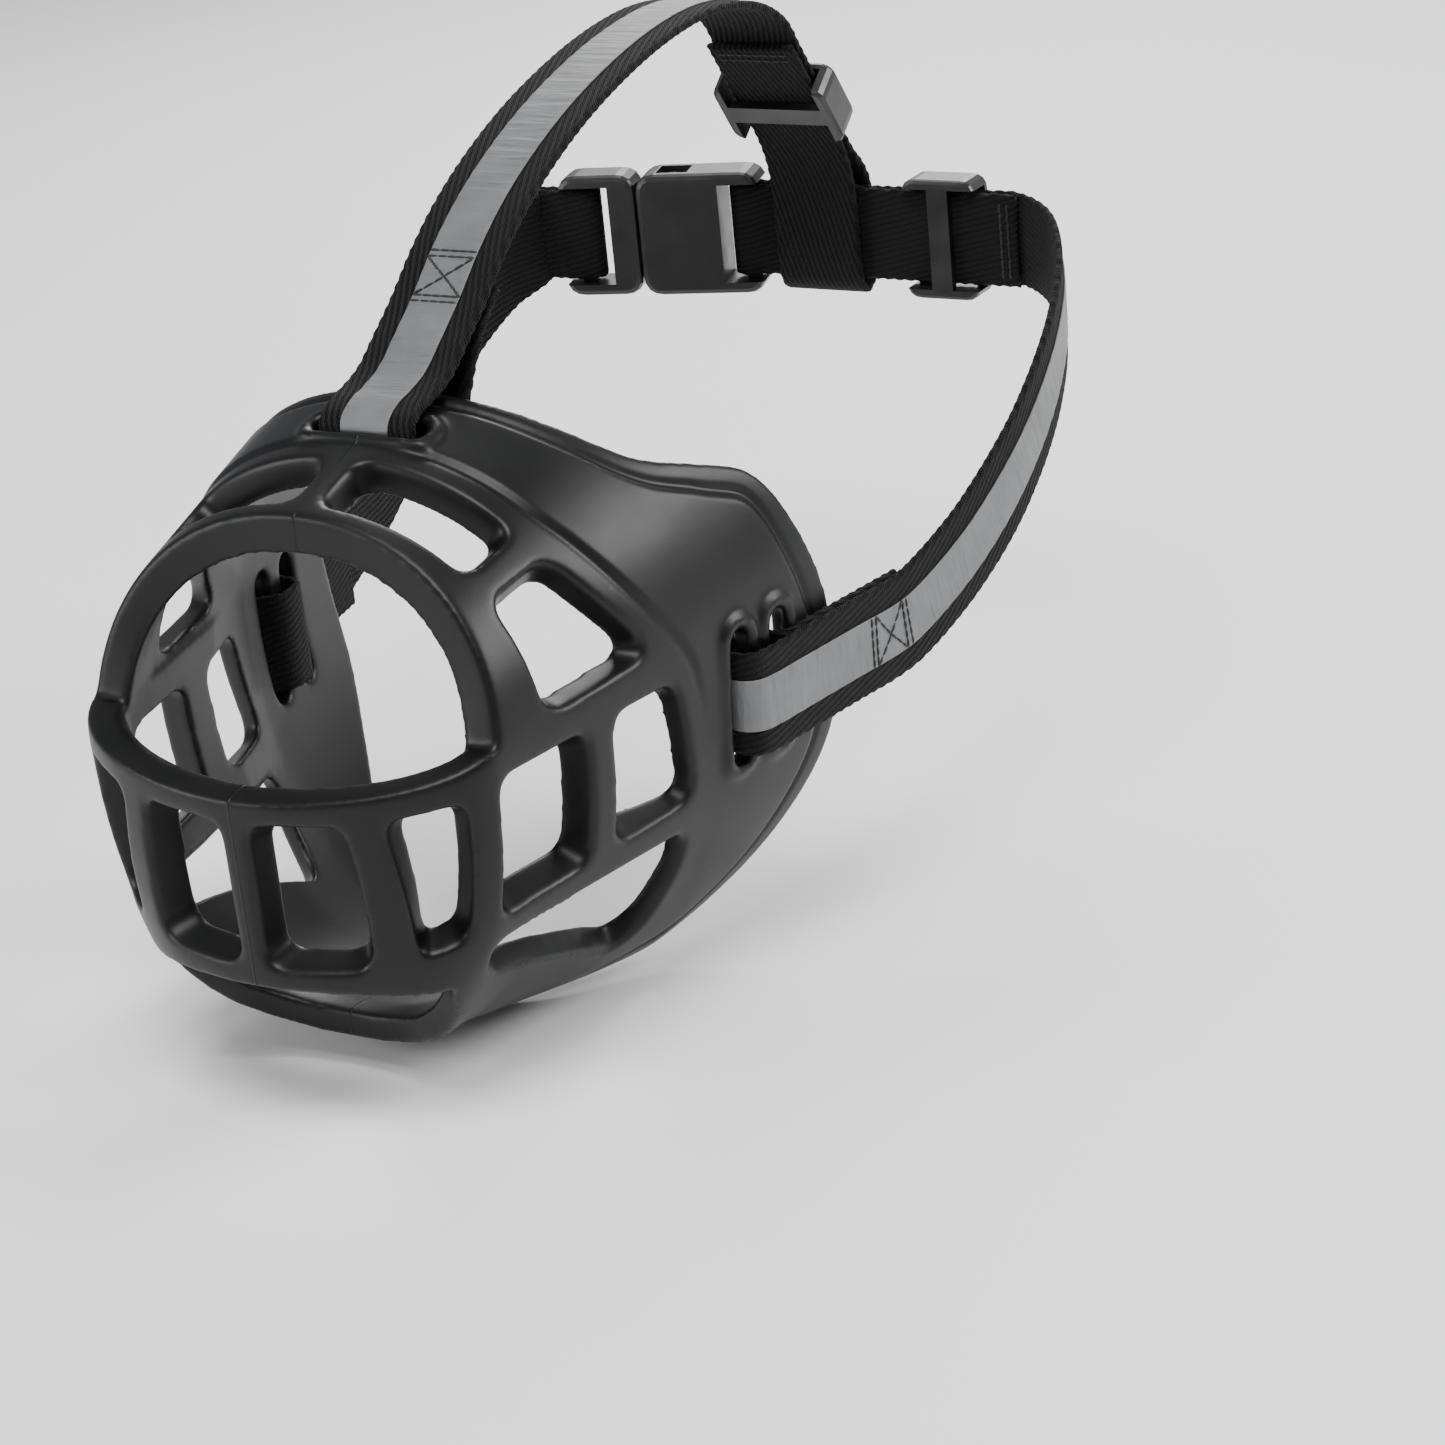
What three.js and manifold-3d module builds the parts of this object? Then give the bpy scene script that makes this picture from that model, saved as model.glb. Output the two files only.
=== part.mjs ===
// Basket muzzle for a large dog, in the shape it takes when worn. Millimetres, +Z up.
// The nose end faces -Y, the dog's left side is +X, and the plane X = 0 halves the basket.
// The origin is the lowest, foremost point of the nose ring's lip.
// The basket is one soft moulding. It is built here as its bars, rails, lip and cuff panels,
// each a patch of one common outer skin, with a small gap between neighbours.
import * as THREE from 'three';
import { mergeVertices } from 'three/addons/utils/BufferGeometryUtils.js';
import Module from 'manifold-3d';

const wasm = await Module();
wasm.setup();

// ---- Driving dimensions ----
const GAP = 0.3;                  // clearance between pieces that touch
const BAR_GAP = 0.5;              // and at the ends of bars, whose sides aren't parallel

// Outer skin of the basket
const LIP_HALF_WIDTH = 42.8;      // half width of the nose ring at its corners
const LIP_DEPTH = 21;             // how far the lip's bow reaches back
const LIP_EXPONENT = 1.85;        // roundness of the bow in plan
const LIP_RISE = 0.32;            // how much the lip climbs for each mm back
const SIDE_FLARE = 0.18;          // how much each side opens for each mm back
const ARCH_Y = 29.2;              // where the ring's arch has its top
const ARCH_HEIGHT = 40.4;
const TOP_SLOPE = 0.283;
const CHIN_DEPTH = 58;            // depth of the basket below the lip, at the mouth
const CHIN_SLOPE = 0.25;
const CHIN_START = 28;
const CHIN_RUN = 50;
const UPPER_EXPONENT = 2.15;      // roundness of a cross section above Z = 0
const LOWER_EXPONENT = 2.3;       // and below it

// Wall thicknesses and bar widths
const CAGE_WALL = 6.5;
const TOP_BAR_WALL = 4.5;
const CUFF_WALL = 3.5;
const RING_FACE = 7.5;
const LIP_FACE = 5;
const RING_BACK_Y = 32.5;
const RAIL_TOP = 6.6;

// Webbing and hardware
const WEBBING_WIDTH = 20;
const WEBBING_THICK = 1.6;
const LAYER_PITCH = 2.1;          // from one layer's middle to the next one's
const TAPE_WIDTH = 10;
const TAPE_THICK = 0.4;
const TOP_SLOT_LENGTH = 24;
const SIDE_SLOT_LENGTH = 27;
const SLOT_WIDTH = 5.6;
const TOP_SLOT_Y = 55;
const SIDE_SLOT_Z = -8.6;
const NECK_STRAP_Z = -10;           // where the neck strap leaves the cuff
const FRONT_SLOT_Y = 82.4;
const REAR_SLOT_Y = 93.3;
const REAR_Y = 232;               // outer layer of the neck strap behind the head
const REAR_Z = 34;
const BUCKLE_PIVOT = new THREE.Vector3(-14, 231, REAR_Z);
const BUCKLE_TURN = THREE.MathUtils.degToRad(15);
const SLIDER_X = 29;

const RUBBER = { color: 0x2c2b2e, roughness: 0.55, metalness: 0 };
const WEBBING = { color: 0x151517, roughness: 0.9, metalness: 0 };
const TAPE = { color: 0x95959b, roughness: 0.6, metalness: 0 };
const PLASTIC = { color: 0x111113, roughness: 0.4, metalness: 0 };

const part = new THREE.Group();
const { degToRad, lerp, clamp } = THREE.MathUtils;
const vec = (x, y, z) => new THREE.Vector3(x, y, z);

function addPiece(name, geometry, look, parent = part) {
  const mesh = new THREE.Mesh(geometry, new THREE.MeshStandardMaterial(look));
  mesh.name = name;
  parent.add(mesh);
  return mesh;
}

// ---- Solids ----

// Triangles that join every ring of points to the next one.
function joinRings(rings) {
  const sides = rings[0].length;
  const indices = [];
  for (let i = 0; i < rings.length - 1; i++) {
    for (let j = 0; j < sides; j++) {
      const a = i * sides + j;
      const b = i * sides + (j + 1) % sides;
      indices.push(a, b, b + sides, a, b + sides, a + sides);
    }
  }
  return indices;
}

// A closed geometry through section rings, with a fan of triangles over each end.
function loftRings(rings) {
  const sides = rings[0].length;
  const last = (rings.length - 1) * sides;
  const indices = joinRings(rings);
  for (let j = 1; j < sides - 1; j++) {
    indices.push(0, j + 1, j, last, last + j, last + j + 1);
  }
  return facingOut(rings.flat(), indices);
}

// The same for thin curved sections, each an outer and an inner row: strips close the ends.
function loftShell(rings) {
  const sides = rings[0].length;
  const last = (rings.length - 1) * sides;
  const indices = joinRings(rings);
  for (let j = 0; j < sides / 2 - 1; j++) {
    const [a, b, c, d] = [j, j + 1, sides - 2 - j, sides - 1 - j];
    indices.push(a, c, b, a, d, c);
    indices.push(last + a, last + b, last + c, last + a, last + c, last + d);
  }
  return facingOut(rings.flat(), indices);
}

// A geometry whose triangles are turned over if its volume comes out negative.
function facingOut(points, indices) {
  let volume = 0;
  for (let i = 0; i < indices.length; i += 3) {
    const [a, b, c] = [points[indices[i]], points[indices[i + 1]], points[indices[i + 2]]];
    volume += a.dot(b.clone().cross(c));
  }
  const positions = points.flatMap((p) => [p.x, p.y, p.z]);
  const geometry = new THREE.BufferGeometry();
  geometry.setAttribute('position', new THREE.Float32BufferAttribute(positions, 3));
  geometry.setIndex(volume < 0 ? indices.slice().reverse() : indices);
  return geometry;
}

function toSolid(geometry) {
  const bare = geometry.clone();
  bare.deleteAttribute('normal');
  bare.deleteAttribute('uv');
  const welded = mergeVertices(bare, 1e-4);
  return new wasm.Manifold(new wasm.Mesh({
    numProp: 3,
    vertProperties: new Float32Array(welded.attributes.position.array),
    triVerts: new Uint32Array(welded.index.array),
  }));
}

function toGeometry(solid) {
  const mesh = solid.getMesh();
  const geometry = new THREE.BufferGeometry();
  geometry.setAttribute('position', new THREE.BufferAttribute(mesh.vertProperties, 3));
  geometry.setIndex(new THREE.BufferAttribute(mesh.triVerts, 1));
  return geometry;
}

function box(x0, x1, y0, y1, z0, z1) {
  const geometry = new THREE.BoxGeometry(x1 - x0, y1 - y0, z1 - z0);
  return geometry.translate((x0 + x1) / 2, (y0 + y1) / 2, (z0 + z1) / 2);
}

// A shell patch: its outer face is pointAt(u, v) for u and v from 0 to 1, its thickness goes
// inwards, towards the basket's axis.
function shellPatch(pointAt, uSteps, vSteps, thickness) {
  const STEP = 0.002;
  const inward = (u, v) => {
    const du = pointAt(u + STEP, v).sub(pointAt(u - STEP, v));
    const dv = pointAt(u, v + STEP).sub(pointAt(u, v - STEP));
    const normal = du.cross(dv).normalize();
    const outer = pointAt(u, v);
    const toAxis = vec(-outer.x, 55 - outer.y, -12 - outer.z);
    return normal.dot(toAxis) < 0 ? normal.negate() : normal;
  };
  const rings = [];
  for (let i = 0; i <= uSteps; i++) {
    const u = i / uSteps;
    const outer = [];
    const inner = [];
    for (let j = 0; j <= vSteps; j++) {
      const v = j / vSteps;
      const point = pointAt(u, v);
      outer.push(point);
      inner.unshift(point.clone().addScaledVector(inward(u, v), thickness));
    }
    rings.push([...outer, ...inner]);
  }
  return loftShell(rings);
}

// ---- The basket's outer skin ----

function halfWidth(y) {
  if (y >= LIP_DEPTH) {
    return LIP_HALF_WIDTH + SIDE_FLARE * (y - LIP_DEPTH);
  }
  const bow = 1 - Math.pow(1 - clamp(y, 0, LIP_DEPTH) / LIP_DEPTH, LIP_EXPONENT);
  return LIP_HALF_WIDTH * Math.pow(bow, 1 / LIP_EXPONENT);
}

const topHeight = (y) => ARCH_HEIGHT + TOP_SLOPE * (y - ARCH_Y);
const bottomDepth = (y) => CHIN_DEPTH + CHIN_SLOPE * clamp(y - CHIN_START, 0, CHIN_RUN);

// A point of the skin at station y. The angle is 0 at the dog's left side and 90 at the top.
function skin(angle, y) {
  const turn = degToRad(angle);
  const upper = Math.sin(turn) >= 0;
  const power = 2 / (upper ? UPPER_EXPONENT : LOWER_EXPONENT);
  const height = upper ? topHeight(y) : bottomDepth(y);
  const across = Math.sign(Math.cos(turn)) * Math.pow(Math.abs(Math.cos(turn)), power);
  const up = Math.sign(Math.sin(turn)) * Math.pow(Math.abs(Math.sin(turn)), power);
  return vec(halfWidth(y) * across, y, height * up);
}

// How much the skin draws in at height z.
function narrowing(y, z) {
  const exponent = z >= 0 ? UPPER_EXPONENT : LOWER_EXPONENT;
  const height = z >= 0 ? topHeight(y) : bottomDepth(y);
  return Math.pow(1 - Math.pow(Math.abs(z) / height, exponent), 1 / exponent);
}

// The plan outline at Z = 0, walked from the middle of the front along the dog's left side.
const WALK_STEPS = 240;
const WALK_END_Y = 120;
const walk = [{ x: 0, y: 0, length: 0 }];
for (let i = 1; i <= WALK_STEPS; i++) {
  const y = WALK_END_Y * Math.pow(i / WALK_STEPS, 3);
  const x = halfWidth(y);
  const before = walk[i - 1];
  walk.push({ x, y, length: before.length + Math.hypot(x - before.x, y - before.y) });
}

// A point of the skin at a walked distance from the middle (minus is the dog's right side),
// with its height given as a function of its station y.
function wall(distance, heightAt) {
  const far = Math.abs(distance);
  const index = walk.findIndex((step) => step.length >= far);
  const k = Math.max(1, index);
  const [a, b] = [walk[k - 1], walk[k]];
  const t = (far - a.length) / (b.length - a.length);
  const y = lerp(a.y, b.y, t);
  const z = heightAt(y);
  return vec(Math.sign(distance || 1) * lerp(a.x, b.x, t) * narrowing(y, z), y, z);
}

// The distance walked to station y of the plan outline.
function walkedTo(y) {
  const k = Math.max(1, walk.findIndex((step) => step.y >= y));
  const [a, b] = [walk[k - 1], walk[k]];
  return lerp(a.length, b.length, (y - a.y) / (b.y - a.y));
}

const lipTop = (y) => LIP_RISE * Math.min(y, LIP_DEPTH);
const lipBottom = (y) => -4.6 + 0.25 * Math.min(y, LIP_DEPTH);
const railTop = () => RAIL_TOP;

const BAND_TOP = new THREE.SplineCurve([
  new THREE.Vector2(-1, -31.4), new THREE.Vector2(4, -31), new THREE.Vector2(12, -28),
  new THREE.Vector2(22, -25.6), new THREE.Vector2(45, -24.6), new THREE.Vector2(75, -23.5),
]);
const BAND_BOTTOM_FRONT = -35.6;
const BAND_BOTTOM_CORNER = -37.4;
const BAND_BOTTOM_SIDE = -30.2;
const CORNER_START_Y = 8;
const CORNER_END_Y = 17;
const WINDOW_FRONT_Y = 20;

function bandTop(y) {
  return curveHeight(BAND_TOP, y);
}

function bandBottom(y) {
  if (y < CORNER_START_Y) {
    return lerp(BAND_BOTTOM_FRONT, BAND_BOTTOM_CORNER, y / CORNER_START_Y);
  }
  const t = clamp((y - CORNER_END_Y) / (WINDOW_FRONT_Y - CORNER_END_Y), 0, 1);
  return lerp(BAND_BOTTOM_CORNER, BAND_BOTTOM_SIDE, t * t * (3 - 2 * t));
}

// The second value of a plane curve where its first value is x.
function curveHeight(curve, x) {
  let [low, high] = [0, 1];
  const rising = curve.getPoint(1).x > curve.getPoint(0).x;
  for (let i = 0; i < 24; i++) {
    const middle = (low + high) / 2;
    if ((curve.getPoint(middle).x < x) === rising) {
      low = middle;
    } else {
      high = middle;
    }
  }
  return curve.getPoint((low + high) / 2).y;
}

// Rear rim and front edge of the cuff: station against angle, from the top down to the chin.
const RIM = new THREE.SplineCurve([
  [94, 67], [78, 67.5], [58, 71], [43, 77.5], [34.5, 88], [27, 98.5], [12, 105.5], [-4, 110.5],
  [-18, 111.5], [-34, 103], [-52, 86], [-72, 61], [-94, 50],
].map(([angle, y]) => new THREE.Vector2(angle, y)));
const CUFF_FRONT = new THREE.SplineCurve([
  [94, 45.8], [60, 45.8], [44, 46.8], [30, 50.5], [14, 57.5], [0, 66], [-12, 69.5], [-24, 70.5],
  [-36, 68.5], [-48, 62],
].map(([angle, y]) => new THREE.Vector2(angle, y)));

// Angles are mirrored about 90 or -90 for the dog's right side.
function sideAngle(angle) {
  const wrapped = angle < -90 ? angle + 360 : angle;
  return wrapped > 90 ? 180 - wrapped : wrapped;
}

function rimY(angle) {
  const folded = angle < -90 ? -180 - angle : sideAngle(angle);
  return curveHeight(RIM, folded);
}

function cuffFrontY(angle) {
  return curveHeight(CUFF_FRONT, sideAngle(angle));
}

// ---- Basket: nose ring, rails and bars ----

const LIP_END = 46;               // walked distance of the lip's ends
const mirror = (point) => vec(-point.x, point.y, point.z);

// Lower lip of the nose ring: a bowed strip with a flat top and a face turned to the front.
function lipGeometry() {
  const STEPS = 28;
  const rings = [];
  for (let i = 0; i <= STEPS; i++) {
    const distance = lerp(-LIP_END, LIP_END, i / STEPS);
    const top = wall(distance, lipTop);
    const bottom = wall(distance, lipBottom);
    const along = wall(distance + 0.2, lipTop).sub(wall(distance - 0.2, lipTop));
    const inward = vec(-along.y, along.x, 0).normalize();
    rings.push([
      top,
      bottom,
      bottom.clone().addScaledVector(inward, CAGE_WALL),
      top.clone().addScaledVector(inward, LIP_FACE).add(vec(0, 0, 0.6)),
    ]);
  }
  return loftRings(rings);
}
addPiece('nose_lip', lipGeometry(), RUBBER);

// Upper arch of the nose ring. Its feet stand on the side rails' front ends.
const ARCH_FOOT_ANGLE = 11;
const ARCH_FRONT_Y = 20.4;
function archGeometry() {
  const STEPS = 30;
  const rings = [];
  for (let i = 0; i <= STEPS; i++) {
    const angle = lerp(ARCH_FOOT_ANGLE, 180 - ARCH_FOOT_ANGLE, i / STEPS);
    const rise = clamp((skin(angle, ARCH_Y).z - RAIL_TOP) / (ARCH_HEIGHT - RAIL_TOP), 0, 1);
    const front = skin(angle, lerp(ARCH_FRONT_Y, ARCH_Y, rise));
    const back = skin(angle, RING_BACK_Y);
    const along = skin(angle + 0.5, RING_BACK_Y).sub(skin(angle - 0.5, RING_BACK_Y));
    const inward = vec(-along.z, 0, along.x).normalize();
    rings.push([
      front,
      back,
      back.clone().addScaledVector(inward, TOP_BAR_WALL),
      front.clone().addScaledVector(inward, RING_FACE),
    ]);
  }
  return loftRings(rings);
}
addPiece('nose_arch', archGeometry(), RUBBER);

// A patch between two walked distances and two heights, on one side of the basket.
function wallPatch(from, to, topAt, bottomAt, uSteps, vSteps) {
  const pointAt = (u, v) => {
    const heightAt = (y) => lerp(topAt(y), bottomAt(y), v);
    return wall(lerp(from, to, u), heightAt);
  };
  return shellPatch(pointAt, uSteps, vSteps, CAGE_WALL);
}

const barTop = (y) => lipBottom(y) - BAR_GAP;
const barBottom = (y) => bandTop(y) + BAR_GAP;
const FRONT_BARS = {
  front_bar_centre: [-2.4, 2.4],
  front_corner_bar_left: [22.3, 29],
  front_corner_bar_right: [-29, -22.3],
  side_bar_front_left: [43, 49],
  side_bar_front_right: [-49, -43],
  side_bar_rear_left: [72.5, 78.6],
  side_bar_rear_right: [-78.6, -72.5],
};
for (const [name, [from, to]] of Object.entries(FRONT_BARS)) {
  addPiece(name, wallPatch(from, to, barTop, barBottom, 2, 6), RUBBER);
}

// The bottom band is a bow at the front and a straight rail on each side.
const BAND_SPLIT = 49.4;
addPiece('bottom_band_front', wallPatch(-BAND_SPLIT, BAND_SPLIT, bandTop, bandBottom, 32, 2), RUBBER);

// A rail from a walked distance back to the cuff, whose edge it meets at a slant.
function railPatch(sign, from, topAt, bottomAt, topEndY, bottomEndY) {
  const pointAt = (u, v) => {
    const end = walkedTo(lerp(topEndY, bottomEndY, v) - BAR_GAP);
    return wall(sign * lerp(from + GAP, end, u), (y) => lerp(topAt(y), bottomAt(y), v));
  };
  return shellPatch(pointAt, 12, 1, CAGE_WALL);
}

const RAIL_END_ANGLES = [7, 0];
const BAND_END_ANGLES = [-14, -19];
for (const [side, sign] of [['left', 1], ['right', -1]]) {
  const railEnds = RAIL_END_ANGLES.map(cuffFrontY);
  const bandEnds = BAND_END_ANGLES.map(cuffFrontY);
  addPiece(`side_rail_${side}`, railPatch(sign, LIP_END, railTop, lipBottom, ...railEnds), RUBBER);
  addPiece(`bottom_rail_${side}`, railPatch(sign, BAND_SPLIT, bandTop, bandBottom, ...bandEnds), RUBBER);
}

// Bars of the top: one in the middle and one on each side.
function topBar(fromAngle, toAngle) {
  const pointAt = (u, v) => {
    const angle = lerp(fromAngle, toAngle, u);
    return skin(angle, lerp(RING_BACK_Y + GAP, cuffFrontY(angle) - GAP, v));
  };
  return shellPatch(pointAt, 2, 3, TOP_BAR_WALL);
}
addPiece('top_centre_bar', topBar(87.4, 92.6), RUBBER);
addPiece('top_side_bar_left', topBar(39, 47), RUBBER);
addPiece('top_side_bar_right', topBar(133, 141), RUBBER);

// ---- Basket: cuff, chin and jaw strips ----

const CUFF_TOP_ANGLE = 38;
const CUFF_LOW_ANGLE = -44;
const ANGLE_GAP = 0.35;

function cuffPanel(fromAngle, toAngle, uSteps, vSteps) {
  const pointAt = (u, v) => {
    const angle = lerp(fromAngle, toAngle, u);
    return skin(angle, lerp(cuffFrontY(angle), rimY(angle), v));
  };
  return shellPatch(pointAt, uSteps, vSteps, CUFF_WALL);
}

// A strap slot: a block that cuts right through the wall, with round ends.
function slotCutter(length, width, depth) {
  const shape = new THREE.Shape();
  const half = (length - width) / 2;
  shape.absarc(0, half, width / 2, 0, Math.PI);
  shape.absarc(0, -half, width / 2, Math.PI, 2 * Math.PI);
  const settings = { depth, bevelEnabled: false, curveSegments: 6 };
  return new THREE.ExtrudeGeometry(shape, settings).translate(0, 0, -depth / 2);
}

function cutSlots(geometry, cutters) {
  const cut = cutters.reduce((solid, cutter) => solid.subtract(toSolid(cutter)), toSolid(geometry));
  return toGeometry(cut);
}

const topPanel = cuffPanel(CUFF_TOP_ANGLE + ANGLE_GAP, 180 - CUFF_TOP_ANGLE - ANGLE_GAP, 24, 5);
const topCutter = slotCutter(TOP_SLOT_LENGTH, SLOT_WIDTH, 24)
  .rotateZ(Math.PI / 2)
  .translate(0, TOP_SLOT_Y, topHeight(TOP_SLOT_Y));
addPiece('cuff_top', cutSlots(topPanel, [topCutter]), RUBBER);

function sideSlotCutter(y) {
  return slotCutter(SIDE_SLOT_LENGTH, SLOT_WIDTH, 24)
    .rotateX(Math.PI / 2)
    .rotateZ(Math.PI / 2 + Math.atan(-SIDE_FLARE))
    .translate(halfWidth(y) - 1, y, SIDE_SLOT_Z);
}
const sidePanel = cutSlots(
  cuffPanel(CUFF_LOW_ANGLE + ANGLE_GAP, CUFF_TOP_ANGLE - ANGLE_GAP, 20, 5),
  [sideSlotCutter(FRONT_SLOT_Y), sideSlotCutter(REAR_SLOT_Y)],
);

// The same geometry on the dog's right side.
function mirrored(geometry) {
  const { position } = geometry.attributes;
  const points = [];
  for (let i = 0; i < position.count; i++) {
    points.push(mirror(vec(position.getX(i), position.getY(i), position.getZ(i))));
  }
  return facingOut(points, Array.from(geometry.index.array));
}
addPiece('cuff_side_left', sidePanel, RUBBER);
addPiece('cuff_side_right', mirrored(sidePanel), RUBBER);

// The chin cup closes the cuff below the jaw. Its front edge is the back of the mouth opening.
const CHIN_FRONT_MIDDLE = 24;
const CHIN_FRONT_SIDE = 15;
function chinFrontY(angle) {
  const away = Math.abs(angle + 90) / (90 + CUFF_LOW_ANGLE);
  return lerp(CHIN_FRONT_MIDDLE, CHIN_FRONT_SIDE, away * away);
}
function chinPoint(u, v) {
  const low = CUFF_LOW_ANGLE - ANGLE_GAP;
  const angle = lerp(low, -180 - low, u);
  return skin(angle, lerp(chinFrontY(angle), rimY(angle), v));
}
addPiece('chin_cup', shellPatch(chinPoint, 24, 6, CUFF_WALL), RUBBER);

// A jaw strip runs below each lower side window and ends in the cuff.
const JAW_EDGE = new THREE.SplineCurve([
  [8, -34], [18, -33.4], [24, -33.4], [35, -36], [46, -40], [56, -43],
].map(([y, angle]) => new THREE.Vector2(y, angle)));
const JAW_START_Y = 19;
const JAW_END_Y = 52;
function jawPoint(u, v) {
  const y = lerp(JAW_START_Y, JAW_END_Y, u);
  const upper = curveHeight(JAW_EDGE, y) - ANGLE_GAP;
  return skin(lerp(upper, CUFF_LOW_ANGLE + ANGLE_GAP, v), y);
}
const jawStrip = shellPatch(jawPoint, 8, 2, CUFF_WALL);
addPiece('jaw_strip_left', jawStrip, RUBBER);
addPiece('jaw_strip_right', mirrored(jawStrip), RUBBER);

// ---- Webbing ----

// A flat band along a path: its section lies across the path and the given face direction.
function ribbon(points, faceAt, width, thickness) {
  const rings = points.map((point, i) => {
    const ahead = points[Math.min(i + 1, points.length - 1)];
    const behind = points[Math.max(i - 1, 0)];
    const along = ahead.clone().sub(behind).normalize();
    const face = faceAt(along, i);
    const across = along.clone().cross(face).normalize().multiplyScalar(width / 2);
    const out = face.clone().multiplyScalar(thickness / 2);
    return [[1, 1], [-1, 1], [-1, -1], [1, -1]].map(([side, level]) => (
      point.clone().addScaledVector(across, side).addScaledVector(out, level)
    ));
  });
  return loftRings(rings);
}

function smoothPath(points, steps) {
  return new THREE.CatmullRomCurve3(points, false, 'centripetal').getSpacedPoints(steps);
}

function shifted(points, faceAt, distance) {
  return points.map((point, i) => {
    const ahead = points[Math.min(i + 1, points.length - 1)];
    const behind = points[Math.max(i - 1, 0)];
    const along = ahead.clone().sub(behind).normalize();
    return point.clone().addScaledVector(faceAt(along, i), distance);
  });
}

// Head strap, in the plane X = 0: sewn end, front turn through the top slot, run over the
// forehead and crown, turn round the neck strap, and free end under the run.
const headPoint = ([y, z]) => vec(0, y, z);
const headFace = (along) => vec(0, -along.z, along.y);
const FRONT_TURN = [
  [86, 64.2], [80, 58.9], [75.4, 53], [71.6, 47.2], [67, 44.6], [60, 42.8], [56.6, 42.4],
  [54.7, 43.6], [54, 46.2], [54.8, 49], [57.8, 50.7], [62, 51.7], [67.5, 53.6],
].map(headPoint);
const FOREHEAD_RUN = [
  [67.5, 53.6], [74, 58], [81, 63], [89, 69.5], [99, 76], [111, 81.8], [126, 87.2], [145, 91.8],
  [161, 94], [174, 94.4], [186, 92.8], [196, 89.4], [205, 83],
].map(headPoint);
const REAR_TURN = [
  [205, 83], [217.6, 66.2], [227.8, 52.6], [231.5, 48.9], [234.1, 44.8], [234.6, 40], [234.6, 28],
  [233.6, 23.2], [231, 21.4], [228.3, 23], [227.3, 28], [227.2, 38], [226.8, 44], [225.6, 49.6],
  [222.5, 56.1], [214.1, 67.3], [204.5, 80.1],
].map(headPoint);
const headPath = [
  ...smoothPath(FRONT_TURN, 24),
  ...smoothPath(FOREHEAD_RUN, 18).slice(1),
  ...smoothPath(REAR_TURN, 60).slice(1),
];
addPiece('head_strap_webbing', ribbon(headPath, headFace, WEBBING_WIDTH, WEBBING_THICK), WEBBING);

const TAPE_OFFSET = (WEBBING_THICK + TAPE_THICK) / 2 + BAR_GAP;
const headTapePath = shifted(smoothPath(FOREHEAD_RUN, 18), headFace, TAPE_OFFSET);
addPiece('head_strap_tape', ribbon(headTapePath, headFace, TAPE_WIDTH, TAPE_THICK), TAPE);

// Neck strap. Distances off the cuff are measured from its side wall's outer face.
const outwardTurn = Math.atan(SIDE_FLARE);
function offCuff([y, off]) {
  const x = halfWidth(y) - 0.2 + off * Math.cos(outwardTurn);
  return vec(x, y - off * Math.sin(outwardTurn), NECK_STRAP_Z);
}

// Level in plan, so that the band stands upright round the neck.
const neckFace = (along) => vec(along.y, -along.x, 0).normalize();

const LOOP_TURN = [
  [128, 1.3], [112, 1.3], [99.5, 1.3], [95.8, 1.2], [93.8, -0.8], [93, -3.6], [91.4, -5.7],
  [88, -6.3], [84.6, -5.8], [82.9, -3.6], [82.2, -1], [82.4, 1.2], [83.8, 2.9], [87, 3.5],
  [95, 3.5], [112, 3.5], [124, 3.5],
].map(offCuff);
const NECK_SIDE = [[65.9, 130, -9], [68.8, 150, -2.5]].map((p) => vec(...p));
const NECK_LEFT = [
  [70.3, 172, 8], [68, 195, 19.5], [62, 214, 28], [54, 226, 32.6], [45, REAR_Y - 0.3, REAR_Z],
].map((p) => vec(...p));
const NECK_RIGHT = [
  [71, 174, 11], [70.2, 192, 22], [67.4, 206, 29.6], [63.5, 216, 33.3],
].map((p) => vec(...p));

// Places along the buckle's axis, in the buckle's own frame: X from the socket to the plug,
// Y towards the dog, Z up.
const buckle = new THREE.Group();
buckle.position.copy(BUCKLE_PIVOT);
buckle.rotation.z = Math.PI + BUCKLE_TURN;
buckle.updateMatrixWorld();
part.add(buckle);
const inBuckle = ([x, y]) => buckle.localToWorld(vec(x, y, 0));

// Left webbing: past the slider and the head strap, round the socket's bar, and back under
// itself to its free end beyond the slider.
const TAIL_Y = REAR_Y - LAYER_PITCH;
const SOCKET_TURN = [
  [1, -2.2], [3.9, -2.5], [6.4, -1.7], [7.2, 0], [6.4, 1.7], [3.9, 2.5], [1, 2.2],
].map(inBuckle);
const leftFront = smoothPath([...LOOP_TURN, NECK_SIDE[0]], 44);
const leftSide = smoothPath([NECK_SIDE[0], NECK_SIDE[1], ...NECK_LEFT, vec(38, REAR_Y, REAR_Z)], 20);
const leftRear = [
  vec(20, REAR_Y, REAR_Z),
  vec(-8, REAR_Y, REAR_Z),
  ...smoothPath(SOCKET_TURN, 12),
  vec(-8, TAIL_Y, REAR_Z),
  vec(20, TAIL_Y, REAR_Z),
  vec(46, TAIL_Y - 0.3, REAR_Z),
];
const leftPath = [...leftFront, ...leftSide.slice(1), ...leftRear];
addPiece('neck_webbing_left', ribbon(leftPath, neckFace, WEBBING_WIDTH, WEBBING_THICK), WEBBING);

// Right webbing in two stretches: the front one stays with the basket, the rear one goes with
// the buckle's plug.
const rightFace = (along) => vec(-along.y, along.x, 0).normalize();
const rightFront = [...leftFront, vec(67.5, 140, -6.2), NECK_SIDE[1]].map(mirror);
addPiece('neck_webbing_right', ribbon(rightFront, rightFace, WEBBING_WIDTH, WEBBING_THICK), WEBBING);

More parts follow.
